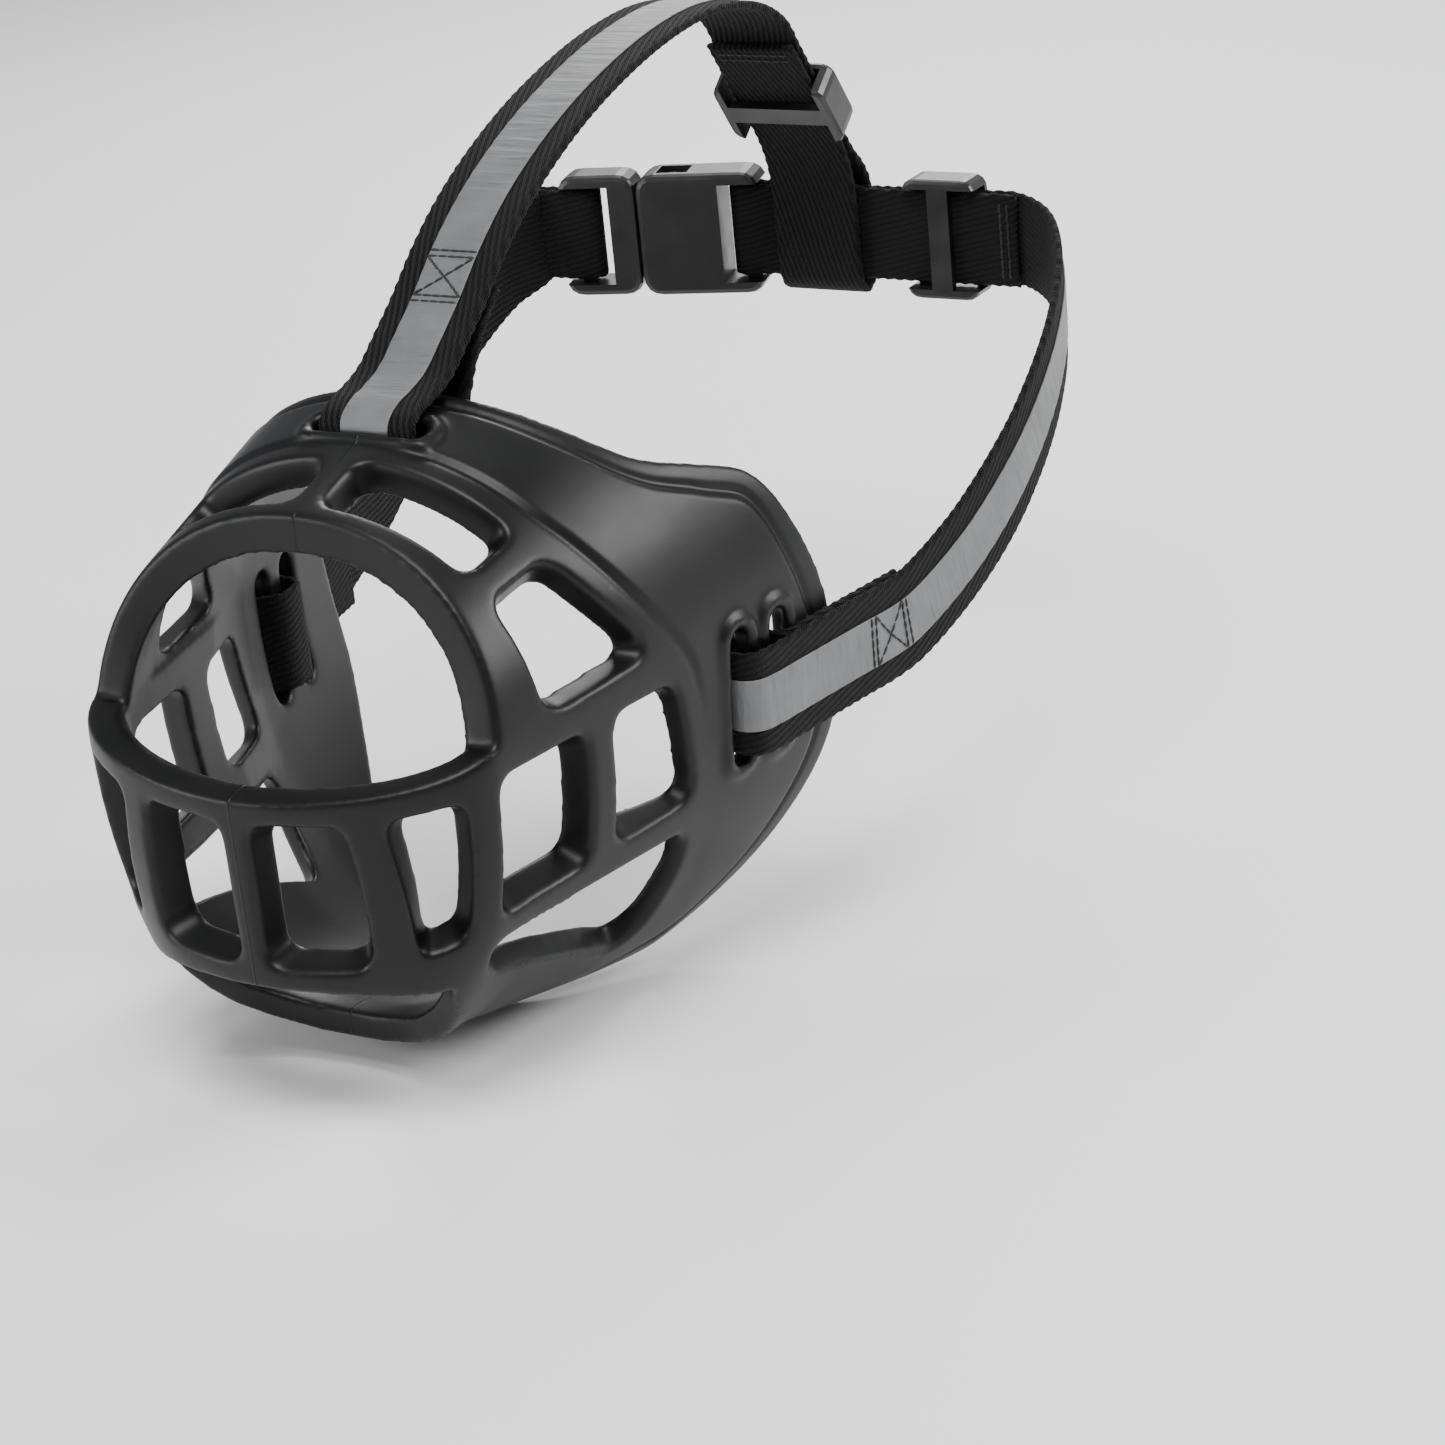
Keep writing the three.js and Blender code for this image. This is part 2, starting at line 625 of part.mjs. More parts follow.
const rightRear = [
  ...smoothPath([
    vec(69.4, 153.5, -0.9), ...NECK_RIGHT, mirror(inBuckle([52, -1.5])),
  ], 16).map(mirror),
  inBuckle([46.5, -1.4]),
  ...smoothPath([[44.4, -2.2], [41.4, -2.5], [38.8, -1.7], [38, 0], [38.8, 1.7], [41.4, 2.5],
    [44.4, 2.2]].map(inBuckle), 12),
  inBuckle([50, 0.9]),
  inBuckle([62, 0.7]),
];
addPiece('neck_webbing_right_rear', ribbon(rightRear, rightFace, WEBBING_WIDTH, WEBBING_THICK), WEBBING);

// Reflective tape on the outer face of a stretch of webbing.
function tapeAlong(path, faceAt, from, to) {
  return ribbon(shifted(path, faceAt, TAPE_OFFSET).slice(from, to), faceAt, TAPE_WIDTH, TAPE_THICK);
}
const TAPE_START = leftFront.length - 12;
const LEFT_TAPE_END = leftFront.length + leftSide.length - 3;
addPiece('neck_tape_left', tapeAlong(leftPath, neckFace, TAPE_START, LEFT_TAPE_END), TAPE);
addPiece('neck_tape_right', tapeAlong(rightFront, rightFace, TAPE_START, -1), TAPE);
addPiece('neck_tape_right_rear', tapeAlong(rightRear, rightFace, 1, 15), TAPE);

// ---- Side release buckle, laid along X in its own frame ----
const HOUSING_HALF_HEIGHT = 13.5;
const HOUSING_HALF_THICK = 5.5;
const BAR_HALF_THICK = 1.25;
const OPENING_HALF_HEIGHT = 10.9;

function block(x0, x1, y, z) {
  return box(x0, x1, -y, y, -z, z);
}

// A block with rounded corners, seen along Y, whose ends in X may differ in height.
function roundedPlate(x0, x1, halfHeight, halfThick, radius, bevel) {
  const shape = new THREE.Shape();
  const [left, right, top] = [x0 + bevel, x1 - bevel, halfHeight - bevel];
  shape.moveTo(left + radius, -top);
  shape.lineTo(right - radius, -top);
  shape.quadraticCurveTo(right, -top, right, -top + radius);
  shape.lineTo(right, top - radius);
  shape.quadraticCurveTo(right, top, right - radius, top);
  shape.lineTo(left + radius, top);
  shape.quadraticCurveTo(left, top, left, top - radius);
  shape.lineTo(left, -top + radius);
  shape.quadraticCurveTo(left, -top, left + radius, -top);
  const settings = {
    depth: 2 * (halfThick - bevel), bevelSize: bevel, bevelThickness: bevel, bevelSegments: 2,
    curveSegments: 4,
  };
  return new THREE.ExtrudeGeometry(shape, settings)
    .rotateX(Math.PI / 2)
    .translate(0, halfThick - bevel, 0);
}

function socketGeometry() {
  const cuts = [
    block(12, 29, 2.7, OPENING_HALF_HEIGHT),
    block(16.5, 23.5, 3, HOUSING_HALF_HEIGHT + 1),
    block(-1, 9.5, HOUSING_HALF_THICK + 1, OPENING_HALF_HEIGHT),
  ];
  const housing = toSolid(roundedPlate(0.5, 28, HOUSING_HALF_HEIGHT, HOUSING_HALF_THICK, 3, 1.2));
  const open = cuts.reduce((solid, cut) => solid.subtract(toSolid(cut)), housing);
  return toGeometry(open.add(toSolid(block(2.4, 5.2, BAR_HALF_THICK, OPENING_HALF_HEIGHT + 1))));
}

const PLUG_FACE_X = 28.4;
function plugGeometry() {
  const base = toSolid(roundedPlate(PLUG_FACE_X, 46, HOUSING_HALF_HEIGHT, 4.6, 3, 1.2));
  const open = base.subtract(toSolid(block(34.5, 47, HOUSING_HALF_THICK, OPENING_HALF_HEIGHT)));
  const bar = toSolid(block(40, 42.8, BAR_HALF_THICK, OPENING_HALF_HEIGHT + 1));
  const tongue = toSolid(block(14, PLUG_FACE_X + 2, 1.6, 2.2));
  return toGeometry(open.add(bar).add(tongue));
}

// A spring prong: a slim arm whose wide head stands in the socket's side window.
const PRONG_ROOT_X = PLUG_FACE_X - GAP;
const PRONG_HINGE_X = 27.6;
const PRONG_HINGE_Z = 7.6;
function prongGeometry(sign) {
  const shape = new THREE.Shape();
  shape.moveTo(PRONG_ROOT_X, 6.4);
  shape.lineTo(PRONG_ROOT_X, 9);
  shape.lineTo(23, 9.6);
  shape.lineTo(22.8, 12);
  shape.quadraticCurveTo(20, 13.2, 17.2, 11);
  shape.quadraticCurveTo(13.6, 9, 13.8, 6.6);
  shape.lineTo(16, 6);
  const settings = { depth: 4.2, bevelEnabled: false, curveSegments: 5 };
  const geometry = new THREE.ExtrudeGeometry(shape, settings)
    .rotateX(Math.PI / 2)
    .translate(0, 2.1, 0);
  return sign > 0 ? geometry : geometry.rotateX(Math.PI);
}

addPiece('buckle_socket', socketGeometry(), PLASTIC, buckle);
addPiece('buckle_plug', plugGeometry(), PLASTIC, buckle);
addPiece('prong_upper', prongGeometry(1), PLASTIC, buckle);
addPiece('prong_lower', prongGeometry(-1), PLASTIC, buckle);

// ---- Three-bar sliders. X runs along the webbing, Y off it, Z across ----
const SLIDER_HALF_LENGTH = 8.5;
const SLIDER_HALF_HEIGHT = 13;
const PACK_HALF = (LAYER_PITCH + WEBBING_THICK) / 2 + GAP;

function sliderGeometry() {
  const BAR = 1.9;
  const body = toSolid(roundedPlate(
    -SLIDER_HALF_LENGTH, SLIDER_HALF_LENGTH, SLIDER_HALF_HEIGHT, PACK_HALF + BAR, 2.5, 0.8,
  ));
  const channel = block(-20, 20, PACK_HALF, OPENING_HALF_HEIGHT);
  const outerOpening = box(-5.2, 5.2, -20, 0, -OPENING_HALF_HEIGHT, OPENING_HALF_HEIGHT);
  const innerOpenings = [-1, 1].map((side) => (
    box(...[side * 2.4, side * 20].sort((a, b) => a - b), 0, 20, -OPENING_HALF_HEIGHT,
      OPENING_HALF_HEIGHT)
  ));
  const cuts = [channel, outerOpening, ...innerOpenings];
  return toGeometry(cuts.reduce((solid, cut) => solid.subtract(toSolid(cut)), body));
}

const neckSlider = addPiece('neck_slider', sliderGeometry(), PLASTIC);
neckSlider.position.set(SLIDER_X, REAR_Y - LAYER_PITCH / 2, REAR_Z);
neckSlider.rotation.z = Math.PI;

// The head slider sits on the straight, falling stretch behind the crown.
const headSlider = addPiece('head_slider', sliderGeometry(), PLASTIC);
const HEAD_SLIDER_AT = vec(0, 217.6, 66.2);
const FALL = vec(0, 0.6, -0.8);
const OFF_HEAD = vec(0, 0.8, 0.6);
headSlider.matrix.makeBasis(FALL, OFF_HEAD.clone().negate(), vec(-1, 0, 0));
headSlider.matrix.setPosition(HEAD_SLIDER_AT.clone().addScaledVector(OFF_HEAD, -LAYER_PITCH / 2));
headSlider.matrix.decompose(headSlider.position, headSlider.quaternion, headSlider.scale);

export default part;
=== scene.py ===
"""Visual model of a soft rubber basket muzzle with its webbing straps, in the shape it takes
when worn. The nose end faces -Y, the dog's left side is +X and +Z is up. Shapes are worked out
in millimetres and turned into metres when a mesh is made."""
import math

import bmesh
import bpy
import numpy as np
from mathutils import Matrix, Vector


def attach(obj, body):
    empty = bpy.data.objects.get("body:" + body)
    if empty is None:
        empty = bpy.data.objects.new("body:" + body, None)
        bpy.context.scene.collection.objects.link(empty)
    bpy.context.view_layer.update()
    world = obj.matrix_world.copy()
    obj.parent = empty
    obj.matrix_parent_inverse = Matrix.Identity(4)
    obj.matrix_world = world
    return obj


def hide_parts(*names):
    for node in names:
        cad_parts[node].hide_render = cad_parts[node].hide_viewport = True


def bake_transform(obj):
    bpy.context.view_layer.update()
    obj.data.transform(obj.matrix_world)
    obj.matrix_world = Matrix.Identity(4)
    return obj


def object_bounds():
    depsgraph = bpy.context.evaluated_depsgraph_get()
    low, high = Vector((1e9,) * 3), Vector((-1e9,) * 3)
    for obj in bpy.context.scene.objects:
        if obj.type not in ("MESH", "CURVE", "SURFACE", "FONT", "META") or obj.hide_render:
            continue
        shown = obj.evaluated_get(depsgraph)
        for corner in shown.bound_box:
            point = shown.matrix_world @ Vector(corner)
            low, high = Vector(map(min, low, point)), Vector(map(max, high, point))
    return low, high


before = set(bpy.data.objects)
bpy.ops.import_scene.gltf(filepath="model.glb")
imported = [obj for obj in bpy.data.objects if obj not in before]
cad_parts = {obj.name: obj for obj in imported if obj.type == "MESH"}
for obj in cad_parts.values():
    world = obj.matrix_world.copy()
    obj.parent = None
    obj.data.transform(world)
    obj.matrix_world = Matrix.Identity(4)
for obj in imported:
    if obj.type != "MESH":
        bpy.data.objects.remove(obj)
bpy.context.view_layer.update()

MM = 0.001

# ---- Camera ----
AZIMUTH = math.radians(30.43)
ELEVATION = math.radians(22.85)
ROLL = math.radians(5.68)
CAMERA_AT = Vector((0.3475, -0.4253, 0.2339))
LENS = 87.7


def camera_axes():
    right = Vector((math.cos(AZIMUTH), math.sin(AZIMUTH), 0))
    back = Vector((
        math.sin(AZIMUTH) * math.cos(ELEVATION),
        -math.cos(AZIMUTH) * math.cos(ELEVATION),
        math.sin(ELEVATION),
    ))
    up = back.cross(right)
    rolled_right = math.cos(ROLL) * right - math.sin(ROLL) * up
    rolled_up = math.sin(ROLL) * right + math.cos(ROLL) * up
    return rolled_right, rolled_up, back


def add_camera():
    data = bpy.data.cameras.new("camera")
    data.lens = LENS
    data.sensor_width = 36
    data.clip_start = 0.02
    camera = bpy.data.objects.new("camera", data)
    bpy.context.collection.objects.link(camera)
    right, up, back = camera_axes()
    turned = Matrix((right, up, back)).transposed().to_4x4()
    camera.matrix_world = Matrix.Translation(CAMERA_AT) @ turned
    bpy.context.scene.camera = camera


add_camera()

# ---- The basket's outer skin, in millimetres ----
LIP_HALF_WIDTH = 42.8
LIP_DEPTH = 21
LIP_EXPONENT = 1.85
LIP_RISE = 0.32
SIDE_FLARE = 0.18
ARCH_Y = 29.2
ARCH_HEIGHT = 40.4
TOP_SLOPE = 0.283
CHIN_DEPTH = 58
CHIN_SLOPE = 0.25
CHIN_START = 28
CHIN_RUN = 50
UPPER_EXPONENT = 2.15
LOWER_EXPONENT = 2.3
CAGE_WALL = 7.0
TOP_WALL = 6.0
CUFF_WALL = 3.5
LOW_WALL = 5.5
RING_FACE = 7.5
LIP_FACE = 5
RING_BACK_Y = 32.5
RAIL_TOP = 6.6
THIN_FROM = (54, 74)               # stations between which the bars' wall thins to the cuff's


def clamp(value, low, high):
    return max(low, min(high, value))


def lerp(a, b, t):
    return a + (b - a) * t


def half_width(y):
    if y >= LIP_DEPTH:
        return LIP_HALF_WIDTH + SIDE_FLARE * (y - LIP_DEPTH)
    bow = 1 - (1 - clamp(y, 0, LIP_DEPTH) / LIP_DEPTH) ** LIP_EXPONENT
    return LIP_HALF_WIDTH * bow ** (1 / LIP_EXPONENT)


def top_height(y):
    return ARCH_HEIGHT + TOP_SLOPE * (y - ARCH_Y)


def bottom_depth(y):
    return CHIN_DEPTH + CHIN_SLOPE * clamp(y - CHIN_START, 0, CHIN_RUN)


def signed_power(value, power):
    return math.copysign(abs(value) ** power, value)


def skin(angle, y):
    """A point of the skin at station y: angle 0 is the dog's left, 90 the top."""
    turn = math.radians(angle)
    upper = math.sin(turn) >= 0
    power = 2 / (UPPER_EXPONENT if upper else LOWER_EXPONENT)
    height = top_height(y) if upper else bottom_depth(y)
    across = signed_power(math.cos(turn), power)
    return Vector((half_width(y) * across, y, height * signed_power(math.sin(turn), power)))


def narrowing(y, z):
    exponent = UPPER_EXPONENT if z >= 0 else LOWER_EXPONENT
    height = top_height(y) if z >= 0 else bottom_depth(y)
    return max(0.0, 1 - (abs(z) / height) ** exponent) ** (1 / exponent)


def walk_outline():
    """Stations, half widths and walked lengths along the plan outline from its front middle."""
    stations = [120 * (i / 240) ** 3 for i in range(241)]
    widths = [half_width(y) for y in stations]
    lengths = [0.0]
    for i in range(1, len(stations)):
        lengths.append(lengths[-1] + math.hypot(widths[i] - widths[i - 1],
                                                stations[i] - stations[i - 1]))
    return np.array(stations), np.array(widths), np.array(lengths)


STATIONS, WIDTHS, LENGTHS = walk_outline()


def station(distance):
    return float(np.interp(abs(distance), LENGTHS, STATIONS))


def wall(distance, z):
    """A point of the skin at a walked distance from the front middle, minus on the right."""
    y = station(distance)
    x = float(np.interp(abs(distance), LENGTHS, WIDTHS)) * narrowing(y, z)
    return Vector((math.copysign(x, distance), y, z))


def walked_to(y):
    return float(np.interp(y, STATIONS, LENGTHS))


def lip_top(y):
    return LIP_RISE * min(y, LIP_DEPTH)


def lip_bottom(y):
    return -4.6 + 0.25 * min(y, LIP_DEPTH)


def centripetal(points, count):
    """Points evenly spaced along a centripetal Catmull-Rom curve through the given ones."""
    pts = [np.array(p, dtype=float) for p in points]
    pts = [2 * pts[0] - pts[1]] + pts + [2 * pts[-1] - pts[-2]]
    dense = []
    for i in range(1, len(pts) - 2):
        p0, p1, p2, p3 = pts[i - 1:i + 3]
        knots = [0.0]
        for a, b in ((p0, p1), (p1, p2), (p2, p3)):
            knots.append(knots[-1] + max(1e-4, np.linalg.norm(b - a)) ** 0.5)
        t0, t1, t2, t3 = knots
        for t in np.linspace(t1, t2, 24, endpoint=False):
            a1 = (t1 - t) / (t1 - t0) * p0 + (t - t0) / (t1 - t0) * p1
            a2 = (t2 - t) / (t2 - t1) * p1 + (t - t1) / (t2 - t1) * p2
            a3 = (t3 - t) / (t3 - t2) * p2 + (t - t2) / (t3 - t2) * p3
            b1 = (t2 - t) / (t2 - t0) * a1 + (t - t0) / (t2 - t0) * a2
            b2 = (t3 - t) / (t3 - t1) * a2 + (t - t1) / (t3 - t1) * a3
            dense.append((t2 - t) / (t2 - t1) * b1 + (t - t1) / (t2 - t1) * b2)
    dense.append(pts[-2])
    dense = np.array(dense)
    steps = np.linalg.norm(np.diff(dense, axis=0), axis=1)
    lengths = np.concatenate([[0], np.cumsum(steps)])
    wanted = np.linspace(0, lengths[-1], count + 1)
    return np.stack([np.interp(wanted, lengths, dense[:, k]) for k in range(dense.shape[1])], 1)


def graph(points):
    """A smooth function through (x, value) points."""
    curve = centripetal(points, 200)
    order = np.argsort(curve[:, 0])
    return lambda x: np.interp(x, curve[order, 0], curve[order, 1])


band_top = graph([(-1, -31.4), (4, -31), (12, -28), (22, -25.6), (45, -24.6), (75, -23.5)])
rim_at = graph([
    (94, 67), (78, 67.5), (58, 71), (43, 77.5), (34.5, 88), (27, 98.5), (12, 105.5), (-4, 110.5),
    (-18, 111.5), (-34, 103), (-52, 86), (-72, 61), (-94, 50),
])
cuff_front_at = graph([
    (94, 45.8), (60, 45.8), (44, 46.8), (30, 50.5), (14, 57.5), (0, 66), (-12, 69.5),
    (-24, 70.5), (-36, 68.5), (-48, 62),
])
jaw_edge_z = graph([(14, -35.5), (18, -36.5), (23, -38), (34, -41), (49, -47), (59, -51.5),
                    (70, -53.5)])


def band_bottom(y):
    if y < 8:
        return lerp(-35.6, -37.4, y / 8)
    t = clamp((y - 17) / 3, 0, 1)
    return lerp(-37.4, -30.2, t * t * (3 - 2 * t))


def folded(angle):
    """The same place on the dog's left side, between -90 and 90."""
    wrapped = angle + 360 if angle < -180 else angle
    if wrapped > 90:
        return 180 - wrapped
    return -180 - wrapped if wrapped < -90 else wrapped


# ---- Basket mesh ----

def loft(rings, closed=True):
    """Vertices and faces of a closed solid through rings of points."""
    sides = len(rings[0])
    verts = [p for ring in rings for p in ring]
    faces = []
    for i in range(len(rings) - 1):
        for j in range(sides):
            a, b = i * sides + j, i * sides + (j + 1) % sides
            faces.append((a, b, b + sides, a + sides))
    if closed:
        last = (len(rings) - 1) * sides
        for j in range(sides // 2 - 1):
            quad = (j, j + 1, sides - 2 - j, sides - 1 - j)
            faces.append(quad)
            faces.append(tuple(last + k for k in quad))
    return verts, faces


def make_mesh(name, solids):
    """One object from lofted solids given in millimetres."""
    mesh = bpy.data.meshes.new(name)
    verts, faces = [], []
    for solid_verts, solid_faces in solids:
        start = len(verts)
        verts.extend(v * MM for v in solid_verts)
        faces.extend(tuple(start + k for k in face) for face in solid_faces)
    mesh.from_pydata(verts, [], faces)
    work = bmesh.new()
    work.from_mesh(mesh)
    bmesh.ops.remove_doubles(work, verts=work.verts, dist=1e-7)
    bmesh.ops.recalc_face_normals(work, faces=work.faces)
    work.to_mesh(mesh)
    work.free()
    made = bpy.data.objects.new(name, mesh)
    bpy.context.collection.objects.link(made)
    return made


def inward_normal(point_at, u, v):
    step = 0.002
    along = point_at(u + step, v) - point_at(u - step, v)
    down = point_at(u, v + step) - point_at(u, v - step)
    normal = along.cross(down).normalized()
    outer = point_at(u, v)
    to_axis = Vector((-outer.x, 55 - outer.y, -12 - outer.z))
    return -normal if normal.dot(to_axis) < 0 else normal


def shell(point_at, u_steps, v_steps, thickness):
    """A closed wall: its outer face is point_at(u, v), its thickness goes inwards and thins out
    behind the windows."""
    rings = []
    for i in range(u_steps + 1):
        u = i / u_steps
        outer, inner = [], []
        for j in range(v_steps + 1):
            v = j / v_steps
            point = point_at(u, v)
            outer.append(point)
            depth = float(np.interp(point.y, THIN_FROM, (thickness, CUFF_WALL)))
            inner.insert(0, point + inward_normal(point_at, u, v) * depth)
        rings.append(outer + inner)
    return loft(rings)


def cage_point(u, v):
    distance = lerp(-CAGE_REACH, CAGE_REACH, u)
    y = station(distance)
    return wall(distance, lerp(lip_top(y), band_bottom(y), v))


CAGE_REACH = walked_to(73)


def top_point(u, v):
    angle = lerp(3, 177, u)
    return skin(angle, lerp(RING_BACK_Y - 1.5, float(rim_at(folded(angle))), v))


low_front = graph([(14, 56), (4, 60), (-6, 60), (-13, 52), (-18, 24), (-24, 13), (-34, 12.5),
                   (-44, 15), (-60, 19), (-76, 23.4), (-94, 25)])


def low_point(u, v):
    angle = lerp(12, -192, u)
    side = folded(angle)
    return skin(angle, lerp(float(low_front(side)), float(rim_at(side)), v))


def nose_lip():
    """Lower lip of the nose ring, with a flat top."""
    rings = []
    for i in range(73):
        distance = lerp(-47.5, 47.5, i / 72)
        y = station(distance)
        top, bottom = wall(distance, lip_top(y)), wall(distance, lip_bottom(y))
        along = wall(distance + 0.2, 0) - wall(distance - 0.2, 0)
        inward = Vector((-along.y, along.x, 0)).normalized()
        rings.append([top, bottom, bottom + inward * CAGE_WALL,
                      top + inward * (LIP_FACE + 0.6) + Vector((0, 0, 0.8))])
    return loft(rings)


def nose_arch():
    """Upper arch of the nose ring, its feet sunk in the side rails."""
    rings = []
    for i in range(81):
        angle = lerp(5, 175, i / 80)
        rise = clamp((skin(angle, ARCH_Y).z - RAIL_TOP) / (ARCH_HEIGHT - RAIL_TOP), 0, 1)
        front = skin(angle, lerp(20.4, ARCH_Y, rise))
        back = skin(angle, RING_BACK_Y)
        along = skin(angle + 0.5, RING_BACK_Y) - skin(angle - 0.5, RING_BACK_Y)
        inward = Vector((-along.z, 0, along.x)).normalized()
        rings.append([front, back, back + inward * TOP_WALL, front + inward * RING_FACE])
    return loft(rings)


def rounded_square(radius_u, radius_v, corner_steps=6, edge_steps=7):
    """Outline of a unit square with rounded corners, as (u, v) points."""
    corners = [(1, 1, 0), (0, 1, 90), (0, 0, 180), (1, 0, 270)]
    outline = []
    for u, v, start in corners:
        centre_u = u + (radius_u if u == 0 else -radius_u)
        centre_v = v + (radius_v if v == 0 else -radius_v)
        for i in range(corner_steps + 1):
            turn = math.radians(start + 90 * i / corner_steps)
            outline.append((centre_u + radius_u * math.cos(turn),
                            centre_v + radius_v * math.sin(turn)))
    spread = []
    for k, (u, v) in enumerate(outline):
        spread.append((u, v))
        if k % (corner_steps + 1) == corner_steps:
            next_u, next_v = outline[(k + 1) % len(outline)]
            spread.extend((lerp(u, next_u, i / edge_steps), lerp(v, next_v, i / edge_steps))
                          for i in range(1, edge_steps))
    return spread


DRAFT_OUTSIDE = 0.3                # how far a window's outer outline lies outside its nominal one
DRAFT_SLOPE = 0.27                 # how much it narrows for each mm of depth


def window_cutter(point_at, radius):
    """A plug through the wall that narrows from the outside in."""
    width = (point_at(1, 0.5) - point_at(0, 0.5)).length
    height = (point_at(0.5, 1) - point_at(0.5, 0)).length
    outline = rounded_square(min(0.45, radius / width), min(0.45, radius / height))
    rings = []
    for level in range(4):
        depth = lerp(-3, 10, level / 3)
        grown = DRAFT_OUTSIDE - DRAFT_SLOPE * depth
        ring = []
        for u, v in outline:
            wide_u = 0.5 + (u - 0.5) * (1 + 2 * grown / width)
            wide_v = 0.5 + (v - 0.5) * (1 + 2 * grown / height)
            inward = inward_normal(point_at, clamp(wide_u, 0.01, 0.99), clamp(wide_v, 0.01, 0.99))
            ring.append(point_at(wide_u, wide_v) + inward * depth)
        rings.append(ring)
    sides = len(outline)
    verts, faces = loft(rings, closed=False)
    faces.append(tuple(range(sides)))
    faces.append(tuple(range(3 * sides, 4 * sides)))
    return verts, faces


def wall_window(edge_from, edge_to, top_at, bottom_at):
    """A window whose edges run from (distance at v = 0, distance at v = 1)."""
    def point_at(u, v):
        distance = lerp(lerp(*edge_from, v), lerp(*edge_to, v), u)
        y = station(distance)
        return wall(distance, lerp(float(bottom_at(y)), float(top_at(y)), v))
    return point_at


def skin_window(low_angle, high_angle):
    def point_at(u, v):
        angle = lerp(low_angle, high_angle, v)
        return skin(angle, lerp(33.2, float(cuff_front_at(angle)), u))
    return point_at


def mirrored(solid):
    verts, faces = solid
    return [Vector((-v.x, v.y, v.z)) for v in verts], faces


def window_cutters():
    left = [
        window_cutter(wall_window((2.9, 2.9), (25.2, 21), lip_bottom, band_top), 3.6),
        window_cutter(wall_window((33.8, 27.8), (42.8, 42.6), lip_bottom, band_top), 3.2),
        window_cutter(wall_window((49.4, 49.4), (72.2, 72.2), lip_bottom, band_top), 3.6),
        window_cutter(wall_window((79, 79), (walked_to(69.5), walked_to(65.5)), lip_bottom,
                                  band_top), 4),
        window_cutter(wall_window((walked_to(19), walked_to(19)), (walked_to(64), walked_to(70)),
                                  lambda y: -30.4, jaw_edge_z), 4.5),
        window_cutter(skin_window(8.5, 38.6), 4),
        window_cutter(skin_window(47.4, 87), 3.2),
    ]
    return left + [mirrored(cutter) for cutter in left]


TOP_SLOT_LENGTH = 24
SIDE_SLOT_LENGTH = 27
SLOT_WIDTH = 5.6
TOP_SLOT = Vector((0, 55, 47.6))
SIDE_SLOT_Z = -8.6
NECK_STRAP_Z = -10
SIDE_SLOT_STATIONS = (82.4, 93.3)
SIDE_TURN = math.atan(SIDE_FLARE)


def stadium(length, grown, steps=10):
    """Outline of a slot, long along the first axis."""
    radius = SLOT_WIDTH / 2 + grown
    half = (length - SLOT_WIDTH) / 2
    points = []
    for side in (1, -1):
        for i in range(steps + 1):
            turn = math.pi * (i / steps - 0.5) + (0 if side > 0 else math.pi)
            points.append((side * half + radius * math.cos(turn), radius * math.sin(turn)))
    return points


def slot_frames():
    """Length, centre, long axis, short axis and outward axis of each slot."""
    slope = math.atan(TOP_SLOPE)
    back = Vector((0, math.cos(slope), math.sin(slope)))
    up = Vector((0, -math.sin(slope), math.cos(slope)))
    frames = [(TOP_SLOT_LENGTH, TOP_SLOT, Vector((1, 0, 0)), back, up)]
    for y in SIDE_SLOT_STATIONS:
        for sign in (1, -1):
            centre = Vector((sign * (half_width(y) - 0.2), y, SIDE_SLOT_Z))
            along = Vector((sign * math.sin(SIDE_TURN), math.cos(SIDE_TURN), 0))
            out = Vector((sign * math.cos(SIDE_TURN), -math.sin(SIDE_TURN), 0))
            frames.append((SIDE_SLOT_LENGTH, centre, Vector((0, 0, 1)), along, out))
    return frames


def slot_cutter(length, centre, long_axis, short_axis, out):
    rings = [[centre + a * long_axis + b * short_axis + level * out for a, b in stadium(length, 0)]
             for level in (-12, 12)]
    verts, faces = loft(rings, closed=False)
    sides = len(rings[0])
    return verts, faces + [tuple(range(sides)), tuple(range(sides, 2 * sides))]


def slot_lip(length, centre, long_axis, short_axis, out):
    """A raised wire-like lip round a slot, on the curved outer face."""
    wire, offset, sides = 1.35, 1.15, 10
    rings = []
    for a, b in stadium(length, offset):
        place = centre + a * long_axis + b * short_axis
        drop = 0.0
        if abs(out.z) > 0.5:
            y = place.y
            drop = (top_height(y) * max(0.0, 1 - abs(a / half_width(y)) ** UPPER_EXPONENT)
                    ** (1 / UPPER_EXPONENT)) - place.z
            place = place + Vector((0, 0, drop))
        else:
            surface = half_width(place.y) * narrowing(place.y, place.z)
            place = Vector((math.copysign(surface, out.x), place.y, place.z))
        away = (a * long_axis * 0.15 + b * short_axis).normalized()
        rings.append([place + wire * (math.cos(2 * math.pi * k / sides) * away
                                      + math.sin(2 * math.pi * k / sides) * out)
                      for k in range(sides)])
    rings.append(rings[0])
    return loft(rings, closed=False)


def subtract(target, cutter):
    cut = target.modifiers.new("cut", "BOOLEAN")
    cut.operation = "DIFFERENCE"
    cut.solver = "MANIFOLD"
    cut.object = cutter
    apply_modifiers(target)


def apply_modifiers(target):
    bpy.context.view_layer.update()
    graph_now = bpy.context.evaluated_depsgraph_get()
    mesh = bpy.data.meshes.new_from_object(target.evaluated_get(graph_now))
    target.modifiers.clear()
    target.data = mesh


def discard(obj):
    bpy.data.objects.remove(obj, do_unlink=True)


def smoothstep(low, high, value):
    t = np.clip((value - low) / (high - low), 0, 1)
    return t * t * (3 - 2 * t)


